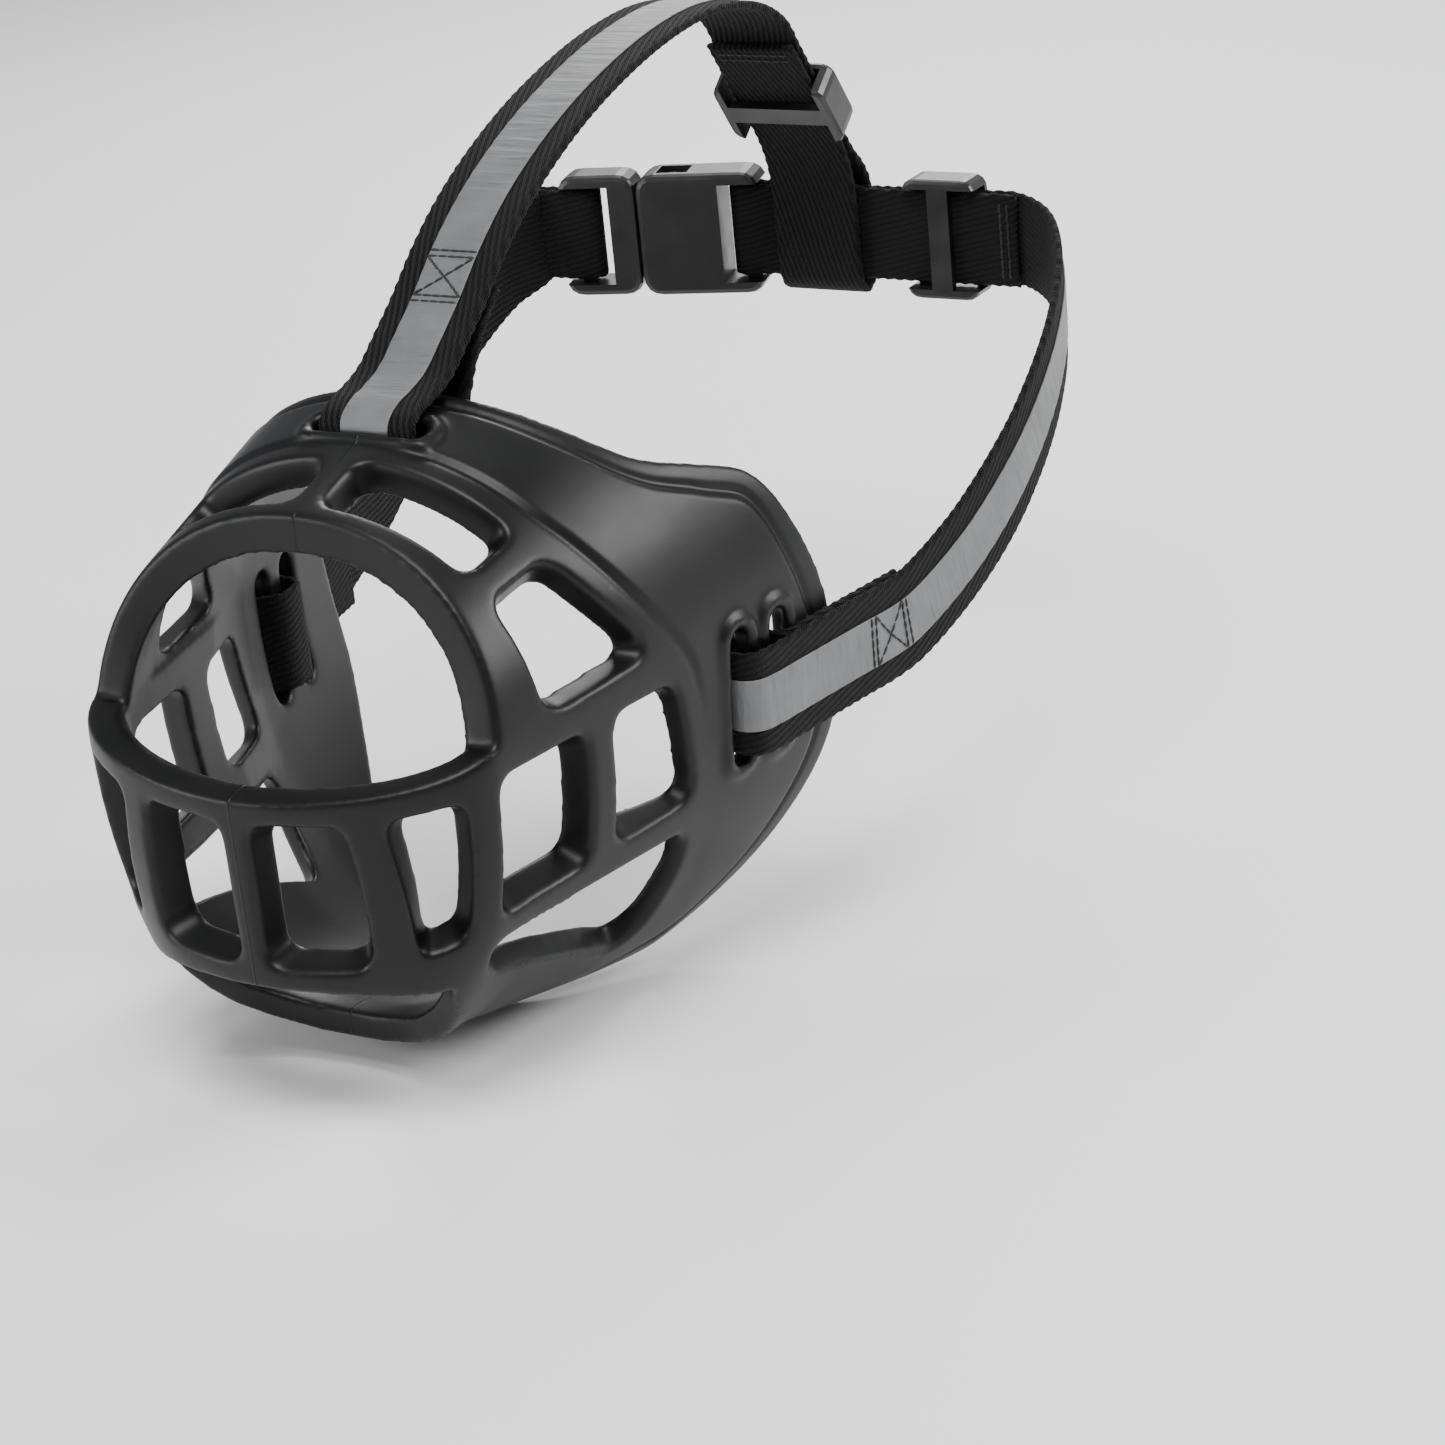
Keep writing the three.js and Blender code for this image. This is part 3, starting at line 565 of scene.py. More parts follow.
def distance_off(co, line_at, angle):
    """Each point's distance off a line of the skin given as station against angle."""
    places = [skin(a, float(line_at(a))) for a in np.linspace(-92, 92, 300)]
    line = np.array([(abs(p.x), p.y, p.z) for p in places])
    mirrored_co = np.column_stack([np.abs(co[:, 0]), co[:, 1], co[:, 2]])
    nearest = np.full(len(co), 1e9)
    for place in line:
        np.minimum(nearest, ((mirrored_co - place) ** 2).sum(1), out=nearest)
    side = 1 if line_at is cuff_front_at else -1
    return np.sqrt(nearest) * np.sign(side * (co[:, 1] - line_at(angle)))


PANEL_RAISE = 0.55                 # height of the cuff's panel over its rim, in mm
RIM_GROOVE = 0.55
FRONT_GROOVE = 0.3


def press_details(obj):
    """Raises the cuff's panel inside a rim groove and behind a step line."""
    mesh = obj.data
    count = len(mesh.vertices)
    co = np.empty(count * 3)
    mesh.vertices.foreach_get("co", co)
    co = co.reshape(-1, 3) / MM
    normals = np.empty(count * 3)
    mesh.vertices.foreach_get("normal", normals)
    normals = normals.reshape(-1, 3)
    x, y, z = np.abs(co[:, 0]), co[:, 1], co[:, 2]
    width = LIP_HALF_WIDTH + SIDE_FLARE * (y - LIP_DEPTH)
    upper = z >= 0
    exponent = np.where(upper, UPPER_EXPONENT, LOWER_EXPONENT)
    height = np.where(upper, ARCH_HEIGHT + TOP_SLOPE * (y - ARCH_Y),
                      CHIN_DEPTH + CHIN_SLOPE * np.clip(y - CHIN_START, 0, CHIN_RUN))
    a, b = x / width, np.abs(z) / height
    angle = np.degrees(np.arctan2(b ** (exponent / 2), a ** (exponent / 2)))
    angle = np.where(upper, angle, -angle)
    ratio = (a ** exponent + b ** exponent) ** (1 / exponent)
    off_skin = (ratio - 1) * np.hypot(x, z)
    radial = np.stack([co[:, 0], 0 * x, co[:, 2] + 6], 1)
    facing = np.einsum("ij,ij->i", normals, radial) > 0
    outer = facing & (off_skin > -1.7) & (y > 40)
    from_rim = distance_off(co, rim_at, angle)
    from_front = distance_off(co, cuff_front_at, angle)
    rim_band = np.interp(angle, [-60, -30, 10, 40, 90], [7.5, 7.5, 7, 5.5, 4.4])
    front_band = np.interp(angle, [-10, 15, 40, 90], [5, 6, 7, 5.5])
    panel = smoothstep(-0.8, 0.8, from_rim - rim_band)
    front_fade = smoothstep(-8, 8, angle)
    panel_front = smoothstep(-0.8, 0.8, from_front - front_band)
    soft_front = smoothstep(72, 92, y)
    lift = PANEL_RAISE * panel * (soft_front + front_fade * (panel_front - soft_front))
    groove = -RIM_GROOVE * np.exp(-((from_rim - rim_band + 1.2) / 0.8) ** 2)
    groove -= FRONT_GROOVE * front_fade * np.exp(-((from_front - front_band + 1.1) / 0.7) ** 2)
    fade = smoothstep(-66, -48, angle)
    shift = np.where(outer, (lift + groove) * fade, 0)
    co += normals * shift[:, None]
    mesh.vertices.foreach_set("co", (co * MM).ravel())
    mesh.update()


VOXEL = 0.45                       # grid that joins the walls, in mm
ROUNDING_PASSES = 36               # smoothing that rounds every edge
EASING_PASSES = 5                  # smoothing of the pressed details
KEPT_FACES = 0.4                   # share of the faces kept at the end


def build_basket():
    cutters = window_cutters() + [slot_cutter(*place) for place in slot_frames()]
    tools = make_mesh("window_tools", cutters)
    shells = [
        make_mesh("cage_wall", [shell(cage_point, 150, 14, CAGE_WALL)]),
        make_mesh("top_wall", [shell(top_point, 90, 14, TOP_WALL)]),
        make_mesh("low_wall", [shell(low_point, 120, 30, LOW_WALL)]),
    ]
    for wall_object in shells:
        subtract(wall_object, tools)
    discard(tools)
    lips = [slot_lip(*place) for place in slot_frames()]
    shells.append(make_mesh("ring_parts", [nose_lip(), nose_arch()] + lips))
    basket = shells[0]
    work = bmesh.new()
    for piece in shells:
        work.from_mesh(piece.data)
    work.to_mesh(basket.data)
    work.free()
    for piece in shells[1:]:
        discard(piece)
    remesh = basket.modifiers.new("voxels", "REMESH")
    remesh.mode = "VOXEL"
    remesh.voxel_size = VOXEL * MM
    rounding = basket.modifiers.new("rounding", "SMOOTH")
    rounding.factor = 0.5
    rounding.iterations = ROUNDING_PASSES
    apply_modifiers(basket)
    press_details(basket)
    easing = basket.modifiers.new("easing", "SMOOTH")
    easing.factor = 0.5
    easing.iterations = EASING_PASSES
    thinning = basket.modifiers.new("thinning", "DECIMATE")
    thinning.ratio = KEPT_FACES
    apply_modifiers(basket)
    basket.name = "basket"
    for face in basket.data.polygons:
        face.use_smooth = True
    return basket


BASKET_NODES = [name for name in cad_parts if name.split("_")[0] in {
    "nose", "front", "side", "bottom", "top", "cuff", "chin", "jaw"}]
basket = build_basket()
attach(basket, "muzzle")
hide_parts(*BASKET_NODES)

# ---- Webbing ----
WEBBING_WIDTH = 20
WEBBING_THICK = 1.6
LAYER_PITCH = 2.1
TAPE_WIDTH = 10
TAPE_THICK = 0.3
REAR_Y = 232
REAR_Z = 34
TAIL_Y = REAR_Y - LAYER_PITCH
BUCKLE_PIVOT = Vector((-14, 231, REAR_Z))
BUCKLE_TURN = math.radians(15)
POINT_SPACING = 0.8

HEAD_FRONT_TURN = [
    (86, 64.2), (80, 58.9), (75.4, 53), (71.6, 47.2), (67, 44.6), (60, 42.8), (56.6, 42.4),
    (54.7, 43.6), (54, 46.2), (54.8, 49), (57.8, 50.7), (62, 51.7), (67.5, 53.6),
]
HEAD_RUN = [
    (74, 58), (81, 63), (89, 69.5), (99, 76), (111, 81.8), (126, 87.2), (145, 91.8), (161, 94),
    (174, 94.4), (186, 93), (196, 89.9), (203.2, 85.4), (207.4, 79.8),
]
HEAD_REAR_TURN = [
    (217.6, 66.2), (227.8, 52.6), (231.5, 48.9), (234.1, 44.8), (234.6, 40), (234.6, 28),
    (233.6, 23.2), (231, 21.4), (228.3, 23), (227.3, 28), (227.2, 38), (226.8, 44),
    (225.6, 49.6), (222.5, 56.1), (214.1, 67.3), (204.5, 80.1),
]
LOOP_TURN = [
    (128, 1.3), (112, 1.3), (99.5, 1.3), (95.8, 1.2), (93.8, -0.8), (93, -3.6), (91.4, -5.7),
    (88, -6.3), (84.6, -5.8), (82.9, -3.6), (82.2, -1), (82.4, 1.2), (83.8, 2.9), (87, 3.5),
    (95, 3.5), (112, 3.5), (124, 3.5),
]
NECK_SIDE = [(65.9, 130, -9), (68.8, 150, -2.5)]
NECK_LEFT = [(70.3, 172, 8), (68, 195, 19.5), (62, 214, 28), (54, 226, 32.6),
             (45, REAR_Y - 0.3, REAR_Z), (38, REAR_Y, REAR_Z)]
NECK_RIGHT = [(-71, 174, 11), (-70.2, 192, 22), (-67.4, 206, 29.6), (-63.5, 216, 33.3)]
SOCKET_TURN = [(1, -2.2), (3.9, -2.5), (6.4, -1.7), (7.2, 0), (6.4, 1.7), (3.9, 2.5), (1, 2.2)]
PLUG_TURN = [(52, -1.5), (46.5, -1.4), (44.4, -2.2), (41.4, -2.5), (38.8, -1.7), (38, 0),
             (38.8, 1.7), (41.4, 2.5), (44.4, 2.2), (50, 0.9), (62, 0.7)]


def off_cuff(y, off):
    """A place beside the cuff's side wall, off its outer face."""
    x = half_width(y) - 0.2 + off * math.cos(SIDE_TURN)
    return (x, y - off * math.sin(SIDE_TURN), NECK_STRAP_Z)


def in_buckle(x, y, z=0.0):
    """A place in the buckle's own frame: X from socket to plug, Y towards the dog."""
    cos, sin = math.cos(BUCKLE_TURN), math.sin(BUCKLE_TURN)
    return (BUCKLE_PIVOT.x - cos * x + sin * y, BUCKLE_PIVOT.y - sin * x - cos * y, REAR_Z + z)


def head_face(along):
    return Vector((0, -along.z, along.y)).normalized()


def left_face(along):
    return Vector((along.y, -along.x, 0)).normalized()


def right_face(along):
    return Vector((-along.y, along.x, 0)).normalized()


class Run:
    """Evenly spaced points along a strap, with the direction along it and off its face."""

    def __init__(self, points, face_of):
        rough = centripetal(points, 400)
        length = float(np.sum(np.linalg.norm(np.diff(rough, axis=0), axis=1)))
        count = int(round(length / POINT_SPACING))
        self.points = [Vector(p) for p in centripetal(points, count)]
        self.length = length
        self.spacing = length / count
        self.along, self.face = [], []
        for i in range(len(self.points)):
            ahead = self.points[min(i + 1, len(self.points) - 1)]
            behind = self.points[max(i - 1, 0)]
            along = (ahead - behind).normalized()
            self.along.append(along)
            self.face.append(face_of(along))

    def at(self, distance):
        """The point, direction along and face direction at a distance from the start."""
        place = clamp(distance / self.spacing, 0, len(self.points) - 1.001)
        i, t = int(place), place - int(place)
        return (self.points[i].lerp(self.points[i + 1], t), self.along[i].lerp(self.along[i + 1], t),
                self.face[i].lerp(self.face[i + 1], t))

    def nearest(self, point, after=0.0):
        start = int(after / self.spacing)
        gaps = [(p - Vector(point)).length for p in self.points[start:]]
        return (start + gaps.index(min(gaps))) * self.spacing


def strap_section(width, thick, across_steps=14):
    """Outline of a flat band with rounded edges, as (across, off face) pairs."""
    half, low = width / 2, thick / 2
    top = [(lerp(half - low, low - half, i / across_steps), low) for i in range(across_steps + 1)]
    left = [(low - half - low * math.sin(t), low * math.cos(t))
            for t in (math.pi * k / 6 for k in range(1, 6))]
    bottom = [(-a, -b) for a, b in top]
    right = [(-a, -b) for a, b in left]
    return top + left + bottom + right


def ribbon(name, run, start, end, width, thick, lift, edge_wave=0.0, crease=0.0, seed=0.0):
    """A strap or tape along part of a run. Its own coordinates, in millimetres along, across
    and off the face, are kept in the attribute strap_run."""
    section = strap_section(width, thick)
    count = max(2, int(round((end - start) / POINT_SPACING)))
    rings, own = [], []
    for i in range(count + 1):
        distance = lerp(start, end, i / count)
        point, along, face = run.at(distance)
        across_axis = along.cross(face).normalized()
        wave = edge_wave * math.sin(distance * 2 * math.pi / 2.6 + seed)
        dip = crease * (math.sin(distance * 2.1 + seed) + math.sin(distance * 1.27 + 2 * seed))
        ring = []
        for a, b in section:
            edge = (2 * a / width) ** 6 * wave * (1 if a > 0 else -1)
            sag = dip if b > 0 else 0.0
            ring.append(point + across_axis * (a + edge) + face * (b + lift + sag))
            own.append((distance, a, b))
        rings.append(ring)
    sides = len(section)
    verts, faces = loft(rings, closed=False)
    faces.append(tuple(range(sides)))
    faces.append(tuple(range(count * sides, (count + 1) * sides)))
    mesh = bpy.data.meshes.new(name)
    mesh.from_pydata([v * MM for v in verts], [], faces)
    field = mesh.attributes.new("strap_run", "FLOAT_VECTOR", "POINT")
    field.data.foreach_set("vector", np.array(own, dtype=np.float32).ravel())
    work = bmesh.new()
    work.from_mesh(mesh)
    bmesh.ops.recalc_face_normals(work, faces=work.faces)
    work.to_mesh(mesh)
    work.free()
    for face in mesh.polygons:
        face.use_smooth = True
    made = bpy.data.objects.new(name, mesh)
    bpy.context.collection.objects.link(made)
    return made


def head_points():
    return [(0, y, z) for y, z in HEAD_FRONT_TURN + HEAD_RUN + HEAD_REAR_TURN]


def neck_start():
    return [off_cuff(y, off) for y, off in LOOP_TURN] + NECK_SIDE


def mirror_points(points):
    return [(-x, y, z) for x, y, z in points]


head_run = Run(head_points(), head_face)
left_run = Run(
    neck_start() + NECK_LEFT + [(20, REAR_Y, REAR_Z), (-8, REAR_Y, REAR_Z)]
    + [in_buckle(x, y) for x, y in SOCKET_TURN]
    + [(-8, TAIL_Y, REAR_Z), (20, TAIL_Y, REAR_Z), (46, TAIL_Y - 0.3, REAR_Z)],
    left_face,
)
right_run = Run(
    mirror_points(neck_start()) + NECK_RIGHT + [in_buckle(x, y) for x, y in PLUG_TURN],
    right_face,
)

TAPE_LIFT = (WEBBING_THICK + TAPE_THICK) / 2 + 0.02
head_webbing = ribbon("head_webbing", head_run, 0, head_run.length, WEBBING_WIDTH, WEBBING_THICK,
                      0, edge_wave=0.16)
left_webbing = ribbon("neck_webbing_left_woven", left_run, 0, left_run.length, WEBBING_WIDTH,
                      WEBBING_THICK, 0, edge_wave=0.16, seed=0.7)
right_webbing = ribbon("neck_webbing_right_woven", right_run, 0, right_run.length,
                       WEBBING_WIDTH, WEBBING_THICK, 0, edge_wave=0.16, seed=1.9)

head_tape_from = head_run.nearest((0, 54, 46.6))
head_tape_to = head_run.nearest((0, 205, 83))
left_tape_from = left_run.nearest(off_cuff(82.2, -1.4), after=40)
left_tape_to = left_run.nearest((45, REAR_Y - 0.3, REAR_Z))
right_tape_from = right_run.nearest(mirror_points([off_cuff(82.2, -1.4)])[0], after=40)
right_tape_to = right_run.nearest(in_buckle(52, -1.5))
head_tape = ribbon("head_tape", head_run, head_tape_from, head_tape_to, TAPE_WIDTH, TAPE_THICK,
                   TAPE_LIFT, crease=0.035)
left_tape = ribbon("neck_tape_left_sewn", left_run, left_tape_from, left_tape_to, TAPE_WIDTH,
                   TAPE_THICK, TAPE_LIFT, crease=0.025, seed=1.1)
right_tape = ribbon("neck_tape_right_sewn", right_run, right_tape_from, right_tape_to,
                    TAPE_WIDTH, TAPE_THICK, TAPE_LIFT, crease=0.025, seed=2.3)

SPREAD_START = Vector(NECK_SIDE[1][:]) * MM
SPREAD_START.x = -SPREAD_START.x
for strap in (head_webbing, left_webbing, head_tape, left_tape):
    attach(strap, "muzzle")
for strap in (right_webbing, right_tape):
    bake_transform(strap)
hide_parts("head_strap_webbing")
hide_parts("neck_webbing_left")
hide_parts("neck_webbing_right", "neck_webbing_right_rear")
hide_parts("head_strap_tape")
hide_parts("neck_tape_left")
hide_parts("neck_tape_right", "neck_tape_right_rear")


# ---- Sewing: each stitch is a short thread that dips into the cloth at both ends ----
THREAD_RADIUS = 0.23
STITCH = 2.1


def thread(points, radius=THREAD_RADIUS, sides=6):
    rings = []
    for i, point in enumerate(points):
        ahead, behind = points[min(i + 1, len(points) - 1)], points[max(i - 1, 0)]
        along = (ahead - behind).normalized()
        side = along.orthogonal().normalized()
        other = along.cross(side)
        rings.append([point + radius * (math.cos(2 * math.pi * k / sides) * side
                                        + math.sin(2 * math.pi * k / sides) * other)
                      for k in range(sides)])
    verts, faces = loft(rings, closed=False)
    faces.append(tuple(range(sides)))
    faces.append(tuple(range((len(points) - 1) * sides, len(points) * sides)))
    return verts, faces


def on_strap(run, distance, across, height):
    point, along, face = run.at(distance)
    return point + along.cross(face).normalized() * across + face * height


def stitch_line(run, start, end, height):
    """Stitches from one (distance, across) place on a strap's face to another."""
    length = math.dist(start, end)
    count = max(2, int(round(length / STITCH)))
    solids = []
    for i in range(count):
        points = []
        for k in range(6):
            t = (i + lerp(0.06, 0.94, k / 5)) / count
            arch = height + 0.22 * math.sin(math.pi * k / 5) - 0.1
            jog = 0.12 * math.sin(7.3 * i)
            points.append(on_strap(run, lerp(start[0], end[0], t),
                                   lerp(start[1], end[1], t) + jog, arch))
        solids.append(thread(points))
    return solids


def box_stitch(run, middle, half_long, half_wide, height):
    """A box with a cross in it, its two ends sewn twice."""
    low, high = middle - half_long, middle + half_long
    lines = [
        ((low, -half_wide), (low, half_wide)), ((high, -half_wide), (high, half_wide)),
        ((low - 1.3, -half_wide), (low - 1.3, half_wide)),
        ((high + 1.3, -half_wide), (high + 1.3, half_wide)),
        ((low, -half_wide), (high, half_wide)), ((low, half_wide), (high, -half_wide)),
    ]
    return [solid for a, b in lines for solid in stitch_line(run, a, b, height)]


def bar_stitches(run, places, half_wide, height):
    return [solid for place in places
            for solid in stitch_line(run, (place, -half_wide), (place, half_wide), height)]


ON_TAPE = TAPE_LIFT + TAPE_THICK / 2
ON_WEBBING = WEBBING_THICK / 2
head_box_at = head_run.nearest((0, 84.5, 65.8), after=30)
left_front_at = left_run.nearest((65.0, 121, -10), after=70)
right_front_at = right_run.nearest((-65.0, 121, -10), after=70)
seams = {
    "head_box_stitches": (box_stitch(head_run, head_box_at, 4.2, 5.0, ON_TAPE)
                          + box_stitch(head_run, 4.5, 3.2, 5.0, ON_WEBBING), "muzzle"),
    "neck_stitches_left": (box_stitch(left_run, left_front_at, 4.5, 5.0, ON_TAPE), "muzzle"),
    "neck_stitches_right": (box_stitch(right_run, right_front_at, 4.5, 5.0, ON_TAPE), "muzzle"),
    "head_tail_stitches": (bar_stitches(head_run, [head_run.length - 3.5,
                                                   head_run.length - 1.8], 8, ON_WEBBING), "muzzle"),
    "neck_tail_stitches": (bar_stitches(left_run, [left_run.length - 3.5,
                                                   left_run.length - 1.8], 8, ON_WEBBING), "muzzle"),
    "plug_tail_stitches": (bar_stitches(right_run, [right_run.length - 8,
                                                    right_run.length - 4], 8, ON_WEBBING), "plug"),
}


# ---- Materials ----

class Nodes:
    """A node tree builder: call add() for a node and set its inputs by name or number."""

    def __init__(self, name):
        self.material = bpy.data.materials.new(name)
        self.material.use_nodes = True
        self.tree = self.material.node_tree
        self.shader = self.tree.nodes["Principled BSDF"]

    def add(self, kind, inputs=None, **settings):
        node = self.tree.nodes.new(kind)
        for key, value in settings.items():
            setattr(node, key, value)
        for key, value in (inputs or {}).items():
            self.join(value, node.inputs[key])
        return node

    def join(self, value, socket):
        if isinstance(value, bpy.types.NodeSocket):
            self.tree.links.new(value, socket)
        else:
            socket.default_value = value

    def maths(self, operation, *values):
        return self.add("ShaderNodeMath", dict(enumerate(values)), operation=operation).outputs[0]

    def mix(self, factor, dark, light):
        node = self.add("ShaderNodeMix", data_type="RGBA")
        self.join(factor, node.inputs["Factor"])
        self.join(dark, node.inputs["A"])
        self.join(light, node.inputs["B"])
        return node.outputs["Result"]

    def ramp(self, value, low, high):
        node = self.add("ShaderNodeMapRange", {"Value": value, "From Min": low, "From Max": high})
        return node.outputs["Result"]

    def noise(self, vector, scale, detail=2.0):
        node = self.add("ShaderNodeTexNoise", {"Vector": vector, "Scale": scale, "Detail": detail})
        return node.outputs["Fac"]

    def bump(self, height, strength, distance, normal=None):
        inputs = {"Height": height, "Strength": strength, "Distance": distance}
        if normal is not None:
            inputs["Normal"] = normal
        return self.add("ShaderNodeBump", inputs).outputs["Normal"]


def grey(value, warmth=0.0):
    return (value * (1 + warmth), value, value * (1 - warmth), 1)


def rubber_material():
    """Dark satin rubber: faint mottling, a fine grain, worn lighter edges and a mould line."""
    nodes = Nodes("satin_rubber")
    place = nodes.add("ShaderNodeTexCoord").outputs["Object"]
    mottle = nodes.noise(place, 45, 3)
    fine = nodes.noise(place, 2600, 2)
    edges = nodes.add("ShaderNodeNewGeometry").outputs["Pointiness"]
    worn = nodes.maths("MULTIPLY", nodes.ramp(edges, 0.5, 0.62), nodes.ramp(mottle, 0.35, 0.65))
    base = nodes.mix(nodes.ramp(mottle, 0.3, 0.7), grey(0.0026, -0.05), grey(0.0042, -0.05))
    nodes.join(nodes.mix(worn, base, grey(0.008, -0.04)), nodes.shader.inputs["Base Color"])
    rough = nodes.add("ShaderNodeMapRange", {
        "Value": mottle, "From Min": 0.3, "From Max": 0.7, "To Min": 0.36, "To Max": 0.46})
    nodes.join(rough.outputs["Result"], nodes.shader.inputs["Roughness"])
    axes = nodes.add("ShaderNodeSeparateXYZ", {"Vector": place})
    off_middle = nodes.maths("ABSOLUTE", axes.outputs["X"])
    line = nodes.ramp(off_middle, 0.00028, 0.00008)
    grain = nodes.bump(fine, 0.12, 0.00008)
    nodes.join(nodes.bump(line, 0.5, 0.00025, grain), nodes.shader.inputs["Normal"])
    nodes.shader.inputs["Specular IOR Level"].default_value = 0.26
    return nodes.material


def webbing_material():
    """Black twill: coarse ribs that run nearly along the strap, each with its own fine ply; the
    crests of the ribs and plies are coloured lighter as a painted highlight.
    """
    nodes = Nodes("black_twill")
    own = nodes.add("ShaderNodeAttribute", attribute_name="strap_run").outputs["Vector"]
    axes = nodes.add("ShaderNodeSeparateXYZ", {"Vector": own})
    along, across = axes.outputs["X"], axes.outputs["Y"]
    wander = nodes.noise(own, 0.35, 2)
    slant = nodes.maths("MULTIPLY_ADD", along, 0.27, across)
    slant = nodes.maths("MULTIPLY_ADD", wander, 0.5, slant)
    rib = nodes.maths("SINE", nodes.maths("MULTIPLY", slant, 2 * math.pi / 1.25))
    rib = nodes.ramp(rib, -1, 1)
    step = nodes.maths("MULTIPLY_ADD", slant, 2.2, along)
    ply = nodes.ramp(nodes.maths("SINE", nodes.maths("MULTIPLY", step, 2 * math.pi / 1.1)), -1, 1)
    fuzz = nodes.noise(own, 5.0, 3)
    relief = nodes.maths("MULTIPLY_ADD", ply, 0.35, rib)
    relief = nodes.maths("MULTIPLY_ADD", fuzz, 0.25, relief)
    # painted highlight: the tops of the ribs and plies are coloured lighter than the black cloth
    painted_rib_highlight = nodes.maths("MULTIPLY", rib, nodes.ramp(ply, -0.6, 1.0))
    base = nodes.mix(painted_rib_highlight, grey(0.0008), grey(0.0085, -0.02))
    dusty = nodes.mix(nodes.maths("MULTIPLY", nodes.ramp(fuzz, 0.45, 0.8), 0.2), base, grey(0.012))
    nodes.join(dusty, nodes.shader.inputs["Base Color"])
    nodes.shader.inputs["Roughness"].default_value = 0.82
    nodes.shader.inputs["Sheen Weight"].default_value = 0.03
    nodes.shader.inputs["Sheen Roughness"].default_value = 0.5
    nodes.shader.inputs["Specular IOR Level"].default_value = 0.15
    nodes.join(nodes.bump(relief, 1.0, 0.0005), nodes.shader.inputs["Normal"])
    return nodes.material


def tape_material():
    """Matt grey reflective tape with a bead grain and creases across it, coloured darker in the
    creases as painted shade.
    """
    nodes = Nodes("reflective_tape")
    own = nodes.add("ShaderNodeAttribute", attribute_name="strap_run").outputs["Vector"]
    stretched = nodes.add("ShaderNodeMapping", {"Vector": own, "Scale": (1.0, 0.12, 1.0)})
    creases = nodes.noise(stretched.outputs["Vector"], 0.9, 4)
    beads = nodes.noise(own, 6.0, 2)
    patches = nodes.noise(own, 0.12, 2)
    base = nodes.mix(nodes.ramp(beads, 0.3, 0.7), grey(0.105, -0.02), grey(0.15, -0.02))
    # painted shade: the tape is coloured darker where the crease relief folds in
    crease_shaded = nodes.mix(nodes.ramp(creases, 0.58, 0.72), base, grey(0.085, -0.02))
    nodes.join(nodes.mix(nodes.ramp(patches, 0.4, 0.8), crease_shaded, grey(0.16, -0.02)),
               nodes.shader.inputs["Base Color"])
    nodes.shader.inputs["Roughness"].default_value = 0.55
    nodes.shader.inputs["Metallic"].default_value = 0.15
    grain = nodes.bump(beads, 0.25, 0.00008)
    nodes.join(nodes.bump(creases, 0.7, 0.0004, grain), nodes.shader.inputs["Normal"])
    return nodes.material


def thread_material():
    """Black twisted sewing thread."""
    nodes = Nodes("black_thread")
    place = nodes.add("ShaderNodeTexCoord").outputs["Object"]
    twist = nodes.add("ShaderNodeTexWave", {"Vector": place, "Scale": 900, "Distortion": 2.0})
    nodes.join(nodes.mix(twist.outputs["Fac"], grey(0.004), grey(0.016)),
               nodes.shader.inputs["Base Color"])
    nodes.shader.inputs["Roughness"].default_value = 0.6
    nodes.join(nodes.bump(twist.outputs["Fac"], 0.4, 0.0001), nodes.shader.inputs["Normal"])
    return nodes.material


def plastic_material():
    """Black moulded plastic with a fine spark-eroded grain and rubbed edges."""
    nodes = Nodes("black_acetal")
    place = nodes.add("ShaderNodeTexCoord").outputs["Object"]
    grain = nodes.noise(place, 3200, 2)
    haze = nodes.noise(place, 160, 3)
    edges = nodes.add("ShaderNodeNewGeometry").outputs["Pointiness"]
    base = nodes.mix(nodes.ramp(haze, 0.3, 0.7), grey(0.0035), grey(0.006))
    nodes.join(nodes.mix(nodes.ramp(edges, 0.52, 0.62), base, grey(0.016)),
               nodes.shader.inputs["Base Color"])
    rough = nodes.add("ShaderNodeMapRange", {
        "Value": haze, "From Min": 0.3, "From Max": 0.7, "To Min": 0.32, "To Max": 0.44})
    nodes.join(rough.outputs["Result"], nodes.shader.inputs["Roughness"])
    nodes.join(nodes.bump(grain, 0.2, 0.00006), nodes.shader.inputs["Normal"])
    return nodes.material


def paint(obj, material):
    obj.data.materials.clear()
    obj.data.materials.append(material)


RUBBER, TWILL, TAPE, THREAD, PLASTIC = (
    rubber_material(), webbing_material(), tape_material(), thread_material(), plastic_material())
paint(basket, RUBBER)
for strap in (head_webbing, left_webbing, right_webbing):
    paint(strap, TWILL)
for strap in (head_tape, left_tape, right_tape):
    paint(strap, TAPE)
for name, (solids, body) in seams.items():
    seam = make_mesh(name, solids)
    for face in seam.data.polygons:
        face.use_smooth = True
    paint(seam, THREAD)
    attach(seam, body)


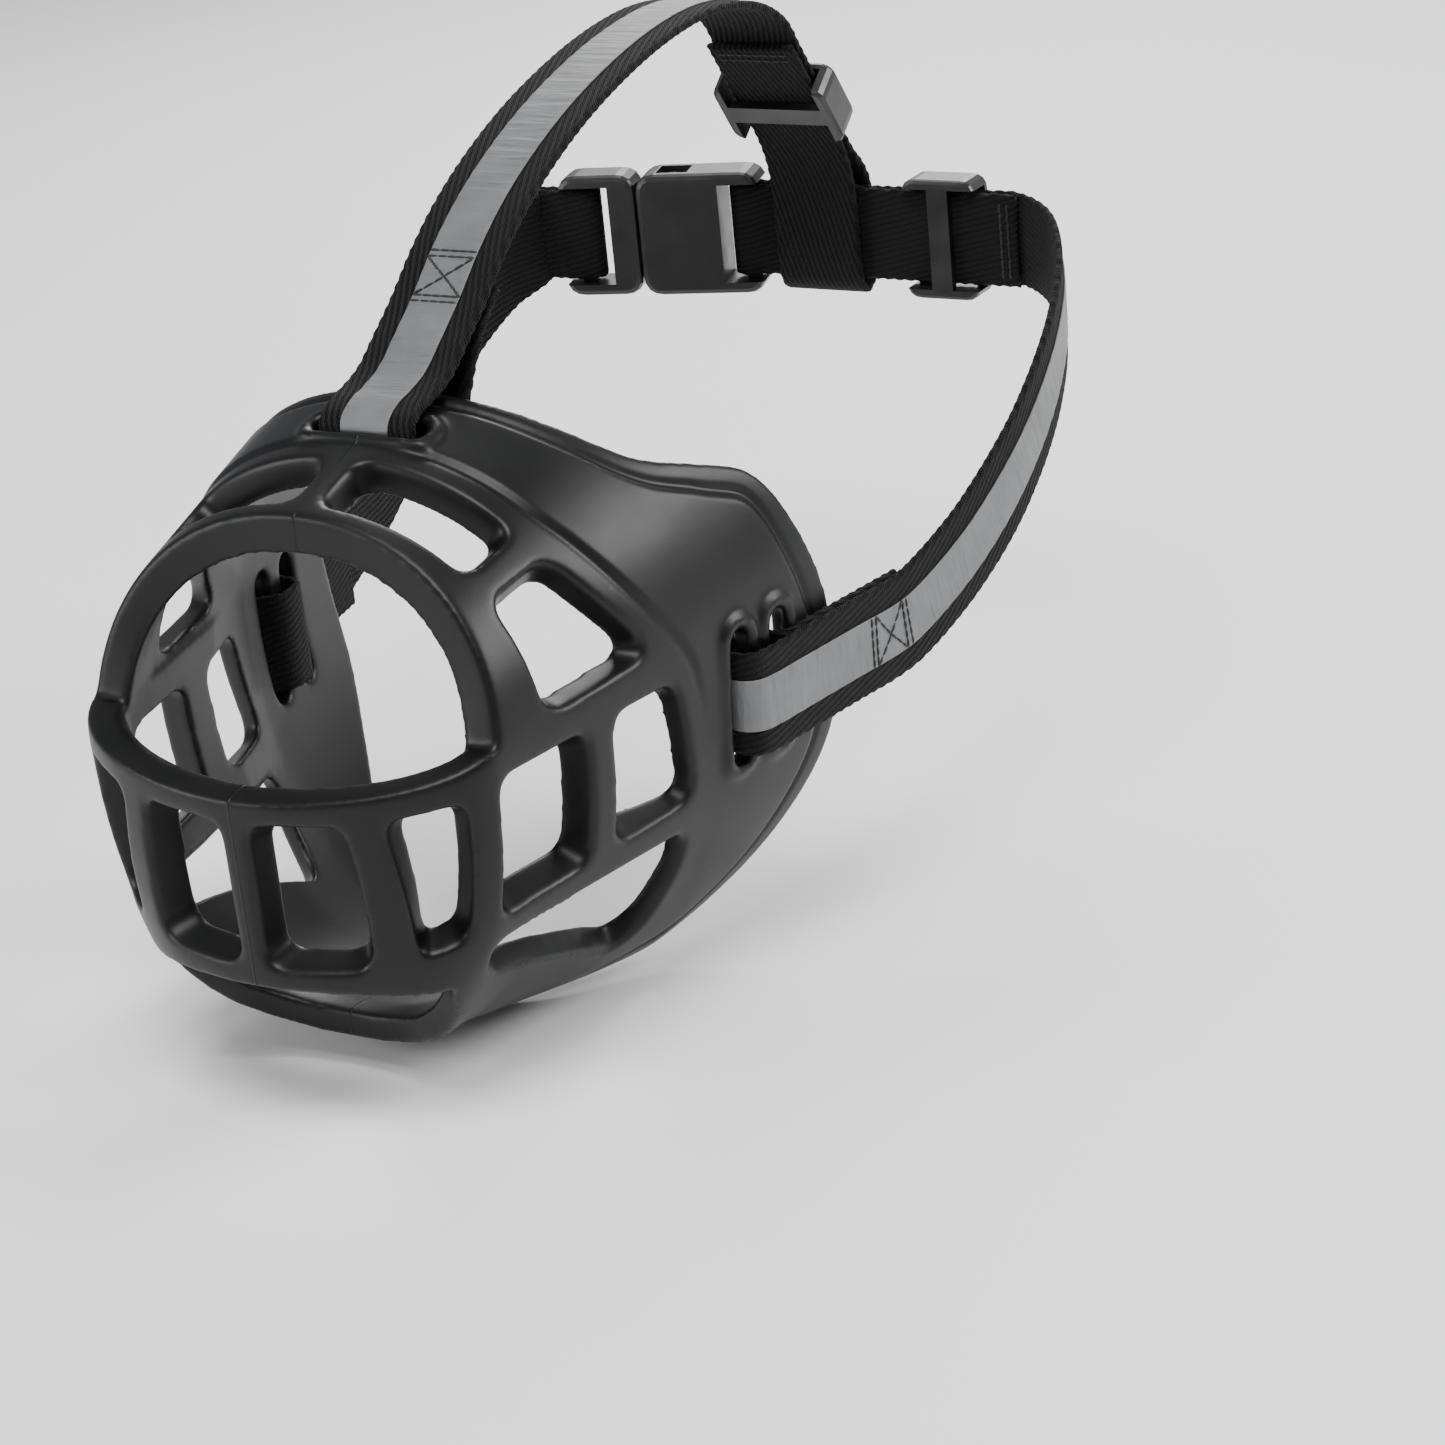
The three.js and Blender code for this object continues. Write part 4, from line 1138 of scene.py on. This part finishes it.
# ---- Plastic hardware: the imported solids, with soft edges ----
HARDWARE = ("buckle_socket", "buckle_plug", "prong_upper", "prong_lower", "neck_slider",
            "head_slider")
for name in HARDWARE:
    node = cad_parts[name]
    for slot_index in range(max(1, len(node.material_slots))):
        if node.material_slots:
            node.material_slots[slot_index].material = PLASTIC
    soften = node.modifiers.new("soft_edges", "BEVEL")
    soften.width = 0.35 * MM
    soften.segments = 2
    soften.limit_method = "ANGLE"
    soften.angle_limit = math.radians(40)


# ---- Studio ----

def add_floor():
    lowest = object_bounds()[0][2] - 0.0005
    mesh = bpy.data.meshes.new("floor")
    size = 4.0
    mesh.from_pydata([(-size, -size, lowest), (size, -size, lowest), (size, size, lowest),
                      (-size, size, lowest)], [], [(0, 1, 2, 3)])
    floor = bpy.data.objects.new("floor", mesh)
    bpy.context.collection.objects.link(floor)
    nodes = Nodes("pale_floor")
    place = nodes.add("ShaderNodeTexCoord").outputs["Object"]
    faint = nodes.noise(place, 6, 2)
    nodes.join(nodes.mix(faint, (0.86, 0.86, 0.86, 1), (0.90, 0.90, 0.90, 1)),
               nodes.shader.inputs["Base Color"])
    nodes.shader.inputs["Roughness"].default_value = 0.9
    paint(floor, nodes.material)


def add_light(name, at, target, size, power):
    data = bpy.data.lights.new(name, "AREA")
    data.shape = "DISK"
    data.size = size
    data.energy = power
    lamp = bpy.data.objects.new(name, data)
    lamp.location = at
    lamp.rotation_euler = (Vector(at) - Vector(target)).to_track_quat("Z", "Y").to_euler()
    bpy.context.collection.objects.link(lamp)


def add_world():
    world = bpy.data.worlds.new("studio")
    world.use_nodes = True
    sky = world.node_tree.nodes["Background"]
    sky.inputs["Color"].default_value = (0.95, 0.96, 1.0, 1)
    sky.inputs["Strength"].default_value = 0.35
    bpy.context.scene.world = world


TARGET = (0, 0.08, 0.0)
add_floor()
add_world()
add_light("key", (0.15, -0.35, 1.0), TARGET, 0.6, 13)
add_light("side", (0.75, 0.56, 0.5), TARGET, 0.5, 10)
add_light("front", (-0.7, -0.6, 0.3), TARGET, 0.4, 5)
add_light("back", (-0.3, 0.95, 0.6), TARGET, 0.5, 8)
